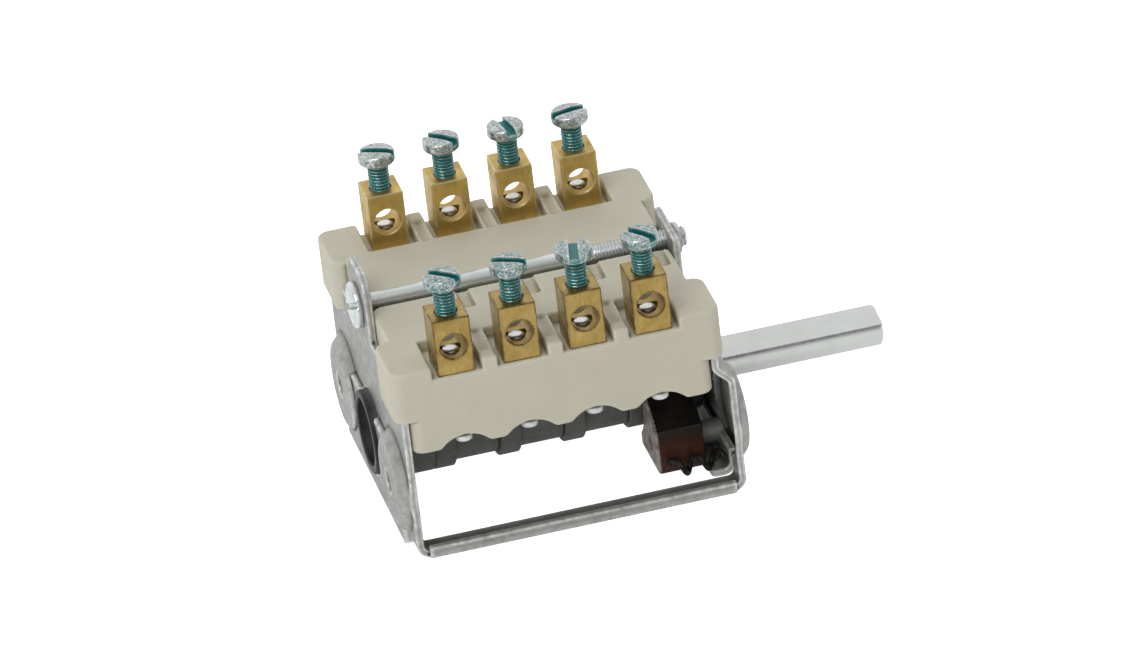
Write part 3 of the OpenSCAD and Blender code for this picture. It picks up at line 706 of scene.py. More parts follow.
def finishes():
    """All finishes of the switch by name."""
    c = sizes("switch_finish")
    # Near black for the painted shade on the rear journal
    painted_shade = (0.008, 0.008, 0.008)
    return {
        # The sheet's light edge colour is rubbed zinc on the cut edges and a painted highlight along edges
        # and ridges
        "sheet": make_finish(
            "galvanised_sheet", c.sheet, c.sheet_dark, patch=700, contrast=1.9, wear=(0.86, 0.86, 0.84),
            wear_amount=1.2, dirt=(0.06, 0.058, 0.05), dirt_amount=1.6, metallic=0.5, rough=(0.3, 0.5),
            bump=0.25, grain=1800, streak=(250.0, 250.0, 5000.0), streak_mix=0.25,
            streak_colour=(0.56, 0.56, 0.55), streak_level=0.56),
        # The ceramic's hollow colour and soft paint are grime and painted shade in its hollows, dips and
        # recesses
        "ceramic": make_finish(
            "cream_ceramic", c.ceramic, shade(c.ceramic, 0.9), patch=160, contrast=1.4,
            wear=(0.76, 0.73, 0.61), wear_amount=0.5, dirt=c.ceramic_dirt, paint=c.ceramic_dirt, dusty=True,
            rough=(0.42, 0.62), bump=0.14, grain=2600),
        "left": make_finish(
            "bright_brass", c.brass, c.brass_dark, patch=380, contrast=1.5, wear=(0.10, 0.06, 0.022),
            wear_amount=1.1, dirt=(0.07, 0.045, 0.02), metallic=0.92, rough=(0.2, 0.4), bump=0.25, grain=2400,
            streak=(4200.0, 4200.0, 350.0), streak_mix=0.55, streak_level=0.5),
        "right": make_finish(
            "brown_brass", c.old_brass, shade(c.old_brass, 0.6), patch=330, contrast=1.8,
            wear=(0.85, 0.74, 0.46), dirt=(0.08, 0.055, 0.03), metallic=0.9, rough=(0.28, 0.5), bump=0.2,
            grain=2400, streak=(5000.0, 5000.0, 350.0), streak_mix=0.4),
        "screw": make_finish(
            "plated_screw", c.screw, shade(c.screw, 0.3), patch=2200, contrast=3.0, wear=(0.88, 0.90, 0.89),
            wear_amount=0.7, dirt=c.lacquer, paint=c.lacquer, paint_scale=3200, metallic=0.92,
            rough=(0.16, 0.36), bump=0.5, grain=2600),
        "silver": make_finish(
            "silver_tip", c.silver, shade(c.silver, 0.85), patch=500, metallic=0.9, rough=(0.2, 0.36),
            bump=0.15),
        "bridge": make_finish(
            "bridge_silver", c.silver, shade(c.silver, 0.72), patch=500, metallic=0.5, rough=(0.3, 0.5),
            bump=0.15),
        "black": make_finish(
            "black_plastic", c.black, shade(c.black, 0.6), patch=240, contrast=1.8, paint=painted_shade,
            paint_scale=200, dusty=True, rough=(0.34, 0.55), bump=0.18, grain=2200),
        "brown": make_finish(
            # The brown's light edge colour is a painted grey sheen on the pawl's end face, laid by its edge
            # mark
            "brown_plastic", c.brown, shade(c.brown, 0.6), wear=(0.56, 0.51, 0.48), wear_amount=3.0,
            # The brown's paint is the painted shadow of the block, black towards the top of the pawl
            dirt=(0.01, 0.006, 0.004), paint=(0.006, 0.005, 0.005), paint_scale=200, dusty=True,
            rough=(0.26, 0.36), bump=0.08, grain=1600, spec=0.4),
        # The steel's soft paint is the painted shade line along each edge of the shaft's flat
        "steel": make_finish(
            "turned_steel", c.steel, shade(c.steel, 0.9), patch=260, contrast=1.4, paint=(0.16, 0.17, 0.165),
            dusty=True, metallic=0.95, rough=(0.24, 0.36), bump=0.12, grain=3000,
            streak=(6000.0, 300.0, 300.0), streak_mix=0.2, streak_level=0.5),
        "tie": make_finish(
            "plated_rod", shade(c.screw, 1.25), shade(c.screw, 0.98), contrast=1.3, dirt=(0.05, 0.05, 0.05),
            paint=c.lacquer, metallic=0.92, rough=(0.22, 0.38), bump=0.2, grain=2600),
        "pin": make_finish(
            "dull_pin", shade(c.steel, 0.6), shade(c.steel, 0.4), patch=600, metallic=0.5, rough=(0.35, 0.5),
            bump=0.15),
        "spring": make_finish(
            "blued_wire", c.spring, shade(c.spring, 2), patch=700, contrast=2.5, metallic=0.6,
            rough=(0.35, 0.5), bump=0.15, spec=0.3),
    }


def repaint(name, material):
    """A solid that is carried over gets a finish of the scene's own."""
    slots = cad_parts[name].material_slots
    if not slots:
        raise RuntimeError(f"{name} has no material slot")
    for slot in slots:
        slot.material = material


# Pieces


class Maker:
    """Operators of this file register and can be undone"""
    bl_options = {"REGISTER", "UNDO"}


class SWITCH_OT_frame(Maker, bpy.types.Operator):
    """Pressed sheet frame with its bosses, set-back, ears and straps"""
    bl_idname = "switch.frame"
    bl_label = "Frame"

    def execute(self, context):
        s = sizes("switch_frame")
        lo, hi = corners("frame")
        half, base, t = s.width / 2, lo[2], s.sheet
        plate, rear = hi[0] - s.boss, lo[0] + s.boss
        inner = half - s.strap
        middle = inner - s.relief
        # How far a slope runs out at its foot and top, where and how wide the pressing's slope is
        soft, step_place, step_width = 0.3, 0.28, 0.9
        # Radii of the plates' corners, of the joins and of the collar's bore, and a height above everything
        corner, join_radius, bore, high = 0.3, 0.1, 1.6, 60
        # Radii of the lip's corners and the collar's rims, and how far the straps run up past the notches
        lip_corner, rim, run_up = 0.8, 0.15, 1

        def lift(y, z):
            """Rise of a plate: the pressing's step inside its outline, and a cone about each screw hole."""
            off = np.abs(y) - s.screw_pitch / 2
            lobe = np.hypot(off, np.maximum(z, 0)) - s.press_radius
            shape = np.minimum(lobe, np.maximum(z - s.press_top, off))
            shape = np.maximum(shape, np.abs(y) - middle)
            step = s.press * ease(step_place - shape / step_width)
            foot, face = s.boss_foot / 2, s.boss_face / 2
            cone = ease((foot + soft - np.hypot(off, z)) / (foot - face + 2 * soft))
            return np.maximum(step, s.boss * cone)

        def panel_lift(y, z):
            """Rise of the panel plate, less its set-back above a level."""
            back = ease((z - s.set_back_height + soft) / (s.set_back_rise + 2 * soft))
            return lift(y, z) - s.set_back * back

        def bent(out, y, z, raised, shape):
            """Sheet with its outer face on a rise: distance from its middle over the slope's length."""
            reach = 0.05
            along = raised(y + reach, z) - raised(y - reach, z)
            up = raised(y, z + reach) - raised(y, z - reach)
            slope = np.hypot(along, up) / (2 * reach)
            return both(np.abs(out - raised(y, z) + t / 2) / np.hypot(1, slope) - t / 2, shape, s.edge)

        def holes(y, z, journal):
            """Journal hole and the two screw holes of a plate."""
            return np.minimum(disc(y, z, journal / 2),
                              disc(np.abs(y) - s.screw_pitch / 2, z, s.screw_hole / 2))

        def lower(y, z):
            """Outline of a plate up to its shoulders, with the notches beside the straps."""
            shape = np.minimum(rect(y, z, -middle, base, middle, s.shoulder),
                               rect(y, z, -half, base + s.relief_height, half, s.shoulder))
            return np.minimum(shape, rect(np.abs(y), z, inner, base + s.bend, half, s.shoulder))

        def upper(y, z, top, radius):
            """Outline of a plate's shoulders, its neck and its ear."""
            shape = either(rect(y, z, -half, 0, half, s.shoulder, corner),
                           rect(y, z, -s.neck / 2, 0, s.neck / 2, s.neck_height, corner), corner)
            return either(shape, rect(y, z, -s.ear / 2, 0, s.ear / 2, top, radius), corner)

        def field(x, y, z):
            """The two end plates, the straps with their upturned edges and the lip, and the collar."""
            side = np.abs(y)
            back = np.minimum(lower(y, z), upper(y, z, hi[2], s.ear_radius))
            back = bent(rear - x, y, z, lift, less(back, holes(y, z, s.rear_hole)))
            front = np.maximum(lower(y, z), base + s.bend - z)
            front = np.minimum(front, upper(y, z, s.panel_ear, t / 2))
            front = bent(x - plate, y, z, panel_lift, less(front, holes(y, z, s.panel_hole)))
            path = rect(x, z, rear + t / 2, base + t / 2, plate - t / 2, high, s.bend - t / 2)
            strap = both(np.abs(path) - t / 2, slab(side, inner, half), s.edge)
            lip = both(np.abs(path) - t / 2, both(side - middle, plate - s.lip - x, lip_corner), s.edge)
            strap = np.maximum(np.minimum(strap, lip), z - base - s.relief_height - run_up)
            path = rect(side, z, 0, base + t / 2, half + t / 2, high, t / 2)
            edge = both(np.abs(path) - t / 2, np.maximum(z - base - s.flange, inner + t / 2 - side), s.edge)
            edge = both(edge, slab(x, rear + t + s.flange_gap, plate - t - s.flange_gap), s.edge)
            body = np.minimum(np.minimum(back, front), either(strap, edge, join_radius))
            behind = plate - s.set_back
            collar = both(disc(y, z - s.tie_height, s.collar / 2),
                          slab(x, behind - t, behind + s.collar_length), rim)
            body = either(body, collar, join_radius)
            return less(body, disc(y, z - s.tie_height, bore), join_radius)

        widths = [s.ear / 2, s.neck / 2, middle, inner, half, half + t]
        heights = [base + s.relief_height, s.shoulder, s.neck_height, s.panel_ear, hi[2]]
        # The grid is fine along X over the end plates, the bends and the lip
        ends = [(lo[0] - 0.5, rear + t + 0.9), (plate - 4.6, hi[0] + 0.5)]
        grid = (ticks(lo[0], hi[0], 0.6, 0.9, 0.17, ends),
                ticks(-half - t, half + t, 0.8, 0.36, 0.16, around(widths + [-w for w in widths], 0.28)),
                ticks(base, hi[2], 0.8, 0.36, 0.16, [(base - 0.5, base + t + 1.2)] + around(heights, 0.28)))
        place = ("sheet_frame", "frame", finishes()["sheet"], 0, 0)
        net_pieces(field, grid, "housing", "zinc_sheet", [place])
        return {"FINISHED"}


class SWITCH_OT_blocks(Maker, bpy.types.Operator):
    """The two ceramic contact blocks"""
    bl_idname = "switch.blocks"
    bl_label = "Blocks"

    def execute(self, context):
        s, f = sizes("switch_block"), sizes("switch_frame")
        lo, hi = corners("block_left")
        mid = (lo[0] + hi[0]) / 2
        end, out, near = (hi[0] - lo[0]) / 2, -lo[1], -hi[1]
        clamp = end - s.end
        low, top = lo[2], hi[2]
        deck = top - s.rib
        wide = s.chamber / 2
        rise = s.arch - low
        arch_r = (wide * wide + rise * rise) / 2 / rise
        # How far the openings reach into the walls, and the share of a recess's depth at its inner end
        into, shallow = 0.5, 0.35
        # Radii of the edges round the openings, round the arches and at the slots' floors
        rounded, arch_edge, slot_floor = 0.3, 0.35, 0.25
        # Radii at the ends of the slots, dips and recesses, and of the chambers' corners
        slot_end, dip_end, recess_end, chamber_corner = 0.4, 0.6, 0.7, 0.6
        # Radii of the edges at the ceilings of the chambers and of the bridges' way
        ceiling, way_ceiling = 0.5, 0.4
        # Depth in a dip at which the grime and painted shade have half their strength, and the length over
        # which they fade
        dust_and_shade_place, fade = 0.4, 0.6

        def from_row(u, shift=0.0, count=len(POLES)):
            """Distance along the row from the nearest of the first poles, or from a place beside it."""
            u = u - shift
            first = (len(POLES) - 1) / 2
            return u - s.pitch * (np.clip(np.round(u / s.pitch + first), 0, count - 1) - first)

        def dip(u, v, z):
            """Lengthwise dip in the top of each rib."""
            groove = disc(from_row(u, s.pitch / 2, len(POLES) - 1), z - top - s.dip_radius + s.dip_depth,
                          s.dip_radius)
            return both(groove, slab(v, out - s.dip_place - s.dip_length, out - s.dip_place), dip_end)

        def recess(u, v, z):
            """Recess in the inner edge beside each pole, deeper towards its outer end."""
            along = (v - near) / s.recess_length
            across = np.abs(from_row(u, s.recess_place)) - s.recess_width / 2
            shape = both(across, v - near - s.recess_length, recess_end)
            return both(shape, top - s.recess_depth * (shallow + (1 - shallow) * ease(along)) - z, rounded)

        def field(x, y, z, recessed):
            """Block with wider ends, less its slots, chambers, arches, ways, dips and recesses."""
            u, v = x - mid, -y
            w = from_row(u)
            body = both(rect(u, v, -clamp, near, clamp, out, s.radius), slab(z, low, top), s.edge)
            ends = both(rect(u, v, -end, s.neck, end, out, s.radius), slab(z, f.shoulder, top), s.edge)
            body = np.minimum(body, ends)
            slot = both(np.abs(w) - s.slot_width / 2, out - s.slot_length - v, slot_end)
            slot = both(slot, deck - z, slot_floor)
            body = less(body, slot, s.edge)
            chamber = rect(w, v, -wide, near + s.inner_wall, wide, out - s.outer_wall, chamber_corner)
            chamber = both(chamber, z - deck + s.deck, ceiling)
            body = less(body, chamber, rounded)
            arch = both(disc(w, z - s.arch + arch_r, arch_r), out - s.outer_wall - into - v)
            body = less(body, arch, arch_edge)
            way = both(both(np.abs(w) - wide, v - near - s.inner_wall - into), z - s.way, way_ceiling)
            body = less(body, way, rounded)
            body = less(body, dip(u, v, z), rounded)
            return less(body, recess(u, v, z), rounded) if recessed else body

        def dust_and_shade(x, y, z, recessed):
            """Mark of the grime and painted shade in the dips, and in the recesses where a block has them."""
            u, v = x - mid, -y
            inside = dip(u, v, z) + dust_and_shade_place
            if recessed:
                inside = np.minimum(inside, recess(u, v, z))
            return ease(0.5 - inside / fade)

        walls = [mid + s.pitch * k + d * s.slot_width / 2 for k in PLACES for d in (-1, 1)]
        rims = [lo[1], hi[1], -s.neck, -out + s.slot_length]
        grid = (ticks(lo[0], hi[0], 0.7, 0.27, 0.19, around(walls + [lo[0], hi[0]], 0.4)),
                ticks(lo[1], hi[1], 0.7, 0.3, 0.2, around(rims, 0.4)),
                ticks(lo[2], hi[2], 0.7, 0.26, 0.19, around([lo[2], hi[2], f.shoulder, deck], 0.4)))
        for side, recessed, turn in (("left", True, 0), ("right", False, math.pi)):
            shift = np.array([mid - mid * math.cos(turn), 0, 0])
            place = (f"ceramic_block_{side}", f"block_{side}", finishes()["ceramic"], shift, turn)
            net_pieces(lambda x, y, z: field(x, y, z, recessed), grid, "housing", "ceramic", [place],
                       paint=lambda x, y, z: dust_and_shade(x, y, z, recessed))
        return {"FINISHED"}


def terminal_places(kind):
    """Side, pole, solid, middle and turn of each of the eight terminals, screws or contacts."""
    for side in SIDES:
        for k in POLES:
            solid = f"{kind}_{side}_{k}"
            lo, hi = corners(solid)
            yield side, k, solid, (lo + hi) / 2, 0 if side == "left" else math.pi


class SWITCH_OT_terminals(Maker, bpy.types.Operator):
    """Brass terminals with their wire holes and threaded holes"""
    bl_idname = "switch.terminals"
    bl_label = "Terminals"

    def execute(self, context):
        s, made = sizes("switch_terminal"), finishes()
        lo, hi = corners("terminal_left_1")
        wide, deep, high = hi - lo
        wire = s.wire_height - high / 2
        # Radii of the upright edges and the sink's rim, and the room round the screw
        upright, sink_rim, room = s.edge * 1.6, 0.05, 0.05

        def field(x, y, z):
            """Bar less the wire hole, the sink for the rivet and the screw's hole above the wire hole."""
            body = both(rect(x, y, -wide / 2, -deep / 2, wide / 2, deep / 2, upright),
                        slab(z, -high / 2, high / 2), s.edge)
            body = less(body, disc(x, z - wire, s.wire / 2), s.edge)
            sink = both(disc(x, y, s.rivet / 2 + s.sink), slab(z, wire - s.wire / 2 - s.sink, wire))
            body = less(body, sink, sink_rim)
            return less(body, both(disc(x, y, s.screw / 2 + room), wire - z), s.edge)

        grid = [ticks(-size / 2, size / 2, 0.5, 0.22, 0.11, around([-size / 2, size / 2], 0.2))
                for size in (wide, deep, high)]
        places = [(f"terminal_{side}_{k}", solid, made[side], middle, turn)
                  for side, k, solid, middle, turn in terminal_places("terminal")]
        # The hollow mark lays grime and painted shade in the sink round each rivet and in the inner corners
        net_pieces(field, grid, "housing", "terminal_brass", places, reach=0.22)
        return {"FINISHED"}


def slotted_head(d, h, dome, width, depth, seed=0.0):
    """Field of a slotted head on z = 0: a slightly uneven disc under a sphere, less the slot along X."""
    # Depth and number of the waves round the disc
    uneven, waves = 0.02, 3
    # Radii of the disc's edges, of the dome's edge, and of the slot's lower and upper edges
    disc_edge, dome_edge, slot_floor, slot_edge = 0.4, 0.3, 0.08, 0.1

    def field(x, y, z):
        ring = np.hypot(x, y)
        wave = uneven * np.sin(waves * np.arctan2(y, x) + seed) * ring / d
        body = both(ring - d / 2 + wave, slab(z, 0, h), disc_edge)
        body = both(body, np.hypot(ring, z - h + dome) - dome, dome_edge)
        slot = both(np.abs(y) - width / 2, h - depth - z, slot_floor)
        return less(body, slot, slot_edge)
    return field


class SWITCH_OT_screws(Maker, bpy.types.Operator):
    """Clamping screws of the terminals, backed out, each on its own sliding body"""
    bl_idname = "switch.screws"
    bl_label = "Screws"

    def execute(self, context):
        s = sizes("switch_terminal")
        lo, hi = corners("screw_left_1")
        shank = round(hi[2] - lo[2] - s.head_height, 3)
        side, slot = s.head / 2, s.driver_width / 2
        # Depth of the thread, and how far it reaches into the head
        thread_depth, root = 0.24, 0.3
        # Least lacquer on the thread, how fast it thickens in the groove, and what is left on the heads
        least, gain, speckle = 0.15, 3, {"left": 0.37, "right": 0.3}
        # Lacquer in the slots: how far past their sides, from what level up, how far under the top it ends,
        # and the depth over which it thins out
        past, level, under, fade = 0.06, 0.3, 0.05, 0.25
        near_slot = [(-slot - 0.15, slot + 0.15)]
        grid = (ticks(-side, side, 0.35, 0.16), ticks(-side, side, 0.35, 0.16, 0.09, near_slot),
                ticks(0, s.head_height, 0.35, 0.13))
        rings, hollow = helix_thread(-shank, root, s.screw / 2, thread_depth, s.screw_pitch)
        rod, rod_faces = closed_tube(rings[:, :, [2, 1, 0]][:, ::-1])
        rod_paint = np.append(least + (1 - least) * ease(gain * hollow[:, ::-1].ravel()), [1, 0])
        for label, k, solid, middle, _ in terminal_places("screw"):
            field = slotted_head(s.head, s.head_height, s.dome, s.driver_width, s.driver_depth, k)
            head, head_faces = surface_net(field, *grid)
            in_slot = (np.abs(head[:, 1]) < slot + past) & (head[:, 2] > level)
            paint = np.maximum(in_slot * ease((s.head_height - under - head[:, 2]) / fade), speckle[label])
            marks = {mark: np.append(values, np.zeros(len(rod)))
                     for mark, values in edge_marks(bend_of(field, head, 0.3)).items()}
            marks["paint"] = np.append(paint, rod_paint)
            verts, faces = join((head, head_faces), (rod, rod_faces))
            turns = s.left_slots if label == "left" else s.right_slots
            seat = np.array([middle[0], middle[1], corners(solid)[0][2] + shank])
            add_piece(f"clamp_{solid}", verts @ spin(turns[k - 1]) + seat, faces, f"clamp_{label}_{k}", solid,
                      finishes()["screw"], marks, sharp=40)
        return {"FINISHED"}


class SWITCH_OT_contacts(Maker, bpy.types.Operator):
    """Contact rivets with their silver tips, and the bridges that join them"""
    bl_idname = "switch.contacts"
    bl_label = "Contacts"

    def execute(self, context):
        s, made = sizes("switch_terminal"), finishes()
        # Thickness of the tips, radius of the posts, and length of the rivets above the posts
        tip_sheet, post, rivet_length = 0.8, 1.4, 4.4
        for side, k, solid, middle, _ in terminal_places("contact"):
            lo, hi = corners(solid)
            tip, rivet = (hi[0] - lo[0]) / 2, s.rivet / 2
            tip_top, deck, top = lo[2] + tip_sheet, hi[2] - rivet_length, hi[2] + s.rivet_rise
            # Heights and radii: the tip with its rounded face, the post, and the rivet with its spread end
            profile = np.array([[lo[2], tip * 0.55], [lo[2] + 0.04, tip * 0.85], [lo[2] + 0.18, tip],
                                [tip_top, tip], [tip_top + 0.1, post], [deck, post], [deck + 0.02, rivet],
                                [top - 0.16, rivet], [top - 0.05, rivet * 0.9], [top, rivet * 0.5]])
            rings = rings_about(*np.hsplit(profile, 2), full_turn(36))[:, ::-1][:, :, [2, 1, 0]]
            verts, faces = closed_tube(rings)
            verts[:, :2] += middle[:2]
            add_piece(f"rivet_{side}_{k}", verts, faces, "housing", solid, made["silver"],
                      sharp=40)
        lo, hi = corners("bridge_1")
        tip, reach, high = (hi[0] - lo[0]) / 2, hi[1], hi[2] - lo[2]
        tip_place = -(corners("contact_left_1")[0][1] + tip)
        half, bar = s.bridge / 2, high - s.button
        # How deep the buttons and the pad reach into the strip
        button_root, pad_root = 0.1, 0.2
        # Radii of the edges of the strip and the pad, of the buttons' edges, and of the pad's corners
        edge, button_edge, pad_corner = 0.15, 0.25, 0.5

        def field(x, y, z):
            """Strip with half-round ends, a button over each end and a pad for the cam under the middle."""
            strip = both(rect(x, y, -half, -reach, half, reach, half),
                         slab(z, bar - s.bridge_sheet, bar), edge)
            button = both(disc(x, np.abs(y) - tip_place, tip), slab(z, bar - button_root, high), button_edge)
            pad = both(rect(x, y, -half, -s.pad / 2, half, s.pad / 2, pad_corner),
                       slab(z, 0, bar - pad_root), edge)
            return np.minimum(np.minimum(strip, button), pad)

        grid = (ticks(-tip, tip, 0.5, 0.22), ticks(-reach, reach, 0.5, 0.3), ticks(0, high, 0.4, 0.16))
        places = [(f"contact_bridge_{k}", f"bridge_{k}", made["bridge"],
                   np.array([corners(f"bridge_{k}")[0][0] + tip, 0, lo[2]]), 0) for k in POLES]
        net_pieces(field, grid, "housing", "contact_silver", places)
        return {"FINISHED"}


class SWITCH_OT_camshaft(Maker, bpy.types.Operator):
    """Moulded camshaft with its cams, star wheel, journals and hollow rear end"""
    bl_idname = "switch.camshaft"
    bl_label = "Camshaft"

    def execute(self, context):
        s, b, f = sizes("switch_shaft"), sizes("switch_block"), sizes("switch_frame")
        lo, hi = corners("camshaft")
        block_lo, block_hi = corners("block_left")
        rear_plate = corners("frame")[0][0] + f.boss
        mid = (block_lo[0] + block_hi[0]) / 2
        angle = full_turn(240)
        # Angles of the flats on the four cams, in degrees
        flats = ((240, 300), (210, 270), (240, 330), (270, 300))

        def cam(places):
            """Radius of a cam: its disc's, or the distance to one of its flats where that is less."""
            least_cosine = 0.2
            r = np.full(angle.shape, s.cam / 2)
            for place in places:
                along = np.cos(angle - math.radians(place + 90))
                r = np.minimum(r, (s.cam / 2 - s.cam_drop) / np.maximum(along, least_cosine))
            return r

        def star():
            """Radius of the star: its disc's, or the near side of a notch's circle where a ray meets it."""
            step = math.pi / 6
            off = (angle + step / 2) % step - step / 2
            centre = s.star / 2 - s.notch_depth + s.notch
            under = s.notch ** 2 - (centre * np.sin(off)) ** 2
            notch = centre * np.cos(off) - np.sqrt(np.maximum(under, 0))
            return np.minimum(s.star / 2, np.where(under > 0, notch, np.inf))

        flat = np.ones(angle.shape)
        start = rear_plate + f.sheet + s.side_gap
        stations = [(lo[0], start, flat * s.rear_journal / 2)]
        for k, places in enumerate(flats):
            x = mid + PLACES[k] * b.pitch
            first = start if k == 0 else x - b.pitch + s.cam_width / 2
            stations.append((first, x - s.cam_width / 2, flat * (s.cam if k == 0 else s.core) / 2))
            stations.append((x - s.cam_width / 2, x + s.cam_width / 2, cam(places)))
            start = x + s.cam_width / 2
        star_end = corners("detent_pawl")[1][0]
        collar_end = corners("frame")[1][0] - f.boss - f.sheet - s.side_gap
        stations += [(start, star_end, star()), (star_end, collar_end, flat * s.core / 2),
                     (collar_end, hi[0], flat * s.panel_journal / 2)]
        c = s.chamfer
        hole = s.hollow / 2
        # Bottom of the hollow, a little past the shaft's end, which shows in it, and radius where it closes
        floor, close = corners("shaft")[0][0] + 0.08, 0.4
        rows = [flat * close, flat * hole, flat * hole, flat * hole + c]
        places = [floor, floor, lo[0] + c, lo[0]]
        for x0, x1, r in stations:
            rows += [r - c, r, r, r - c]
            places += [x0, x0 + c, x1 - c, x1]
        # The panel end closes inside the shaft
        rows.append(flat * s.shaft / 2 * 0.9)
        places.append(hi[0])
        rings = rings_about(np.array(places)[:, None], np.array(rows), angle)
        verts, faces = closed_tube(rings[:, ::-1])
        # The rear journal is blacker than the rest: painted shade where it sits in the rear plate's hole
        marks = {"paint": ease(1 - (verts[:, 0] - rear_plate) / 2)}
        add_piece("moulded_camshaft", verts, faces, "spindle", "camshaft",
                  finishes()["black"], marks, sharp=30)
        return {"FINISHED"}


class SWITCH_OT_shaft(Maker, bpy.types.Operator):
    """Turned steel shaft with its flat"""
    bl_idname = "switch.shaft"
    bl_label = "Shaft"

    def execute(self, context):
        s = sizes("switch_shaft")
        lo, hi = corners("shaft")
        r = s.shaft / 2
        drop = s.flat - r
        half = math.acos(drop / r)
        around_flat = np.linspace(-half, half, 25)
        rest = np.linspace(half, 2 * math.pi - half, 84)[1:-1]
        off = np.concatenate([around_flat, rest])
        section = np.where(np.abs(off) <= half + 1e-6, drop / np.maximum(np.cos(off), 0.1), r)
        section = np.minimum(section, r)
        angle = math.pi / 2 + s.flat_turn + off
        c, rear_chamfer = s.shaft_chamfer, 0.15
        # Places and radii: the rear chamfer, even rows, and the rounded chamfer of the free end
        rows = [(lo[0], r - rear_chamfer), (lo[0] + rear_chamfer, r)]
        rows += [(x, r) for x in np.linspace(lo[0] + 4, hi[0] - c - 4, 14)]
        rows += [(hi[0] - c, r), (hi[0] - c * 0.45, r - c * 0.5), (hi[0] - 0.05, r - c),
                 (hi[0], r - c - 0.12)]
        x, limit = (np.array(column)[:, None] for column in zip(*rows))
        radius = np.minimum(section[None, :], limit)
        verts, faces = closed_tube(rings_about(x, radius, angle)[:, ::-1])
        # A painted shade line follows each edge of the flat: how dark it is, how far outside the edge, and
        # how wide
        dark, beside, width = 0.62, 0.06, 0.07
        line = np.broadcast_to(dark * ease(1.6 - np.abs(np.abs(off) - half - beside) / width), radius.shape)
        marks = {"paint": np.append(line[:, ::-1].ravel(), [0, 0])}
        add_piece("steel_shaft", verts, faces, "spindle", "shaft", finishes()["steel"], marks,
                  sharp=25)
        return {"FINISHED"}


class SWITCH_OT_tie_screw(Maker, bpy.types.Operator):
    """Long tie screw between the ears"""
    bl_idname = "switch.tie_screw"
    bl_label = "Tie screw"

    def execute(self, context):
        s, t = sizes("switch_shaft"), sizes("switch_terminal")
        lo, hi = corners("tie_screw")
        ear = lo[0] + s.tie_head_height
        thread = hi[0] - s.tie_thread_length
        shank, side = s.tie_shank / 2, s.tie_head / 2
        # Radius of the head's dome, width of its slot, and depth and pitch of the thread
        dome, slot_width, thread_depth, pitch = 9, 0.9, 0.2, 0.5
        profile = np.array([[ear - 0.2, shank], [thread - 0.4, shank], [thread + 0.2, shank - 0.1]])
        rod = closed_tube(rings_about(*np.hsplit(profile, 2), full_turn(40))[:, ::-1])
        rings, hollow = helix_thread(thread, hi[0], s.tie_thread / 2, thread_depth, pitch, per_turn=8)
        field = slotted_head(s.tie_head, s.tie_head_height, dome, slot_width, t.driver_depth)
        grid = (ticks(-side, side, 0.4, 0.2), ticks(-side, side, 0.4, 0.2, 0.1, [(-0.6, 0.6)]),
                ticks(0, s.tie_head_height, 0.4, 0.16))
        head, head_faces = surface_net(field, *grid)
        turn = bend_of(field, head, 0.3)
        head = head @ spin(s.tie_slot)
        head = np.stack([ear - head[:, 2], head[:, 1], head[:, 0]], axis=1)
        verts, faces = join((head, head_faces), rod, closed_tube(rings[:, ::-1]))
        verts[:, 2] += (lo[2] + hi[2]) / 2
        plain = np.zeros(len(rod[0]))
        groove = np.append(hollow[:, ::-1].ravel(), [0, 0])
        # The hollow mark darkens the head a little all over, its slot more and the thread's groove: grime and
        # painted shade
        marks = {"paint": np.concatenate([0 * turn, plain, groove * 0.25]),
                 "hollow": np.concatenate([np.clip(0.3 - turn * 0.9, 0, 1), plain, groove * 0.3])}
        add_piece("tie_rod", verts, faces, "housing", "tie_screw", finishes()["tie"], marks,
                  sharp=40)
        return {"FINISHED"}


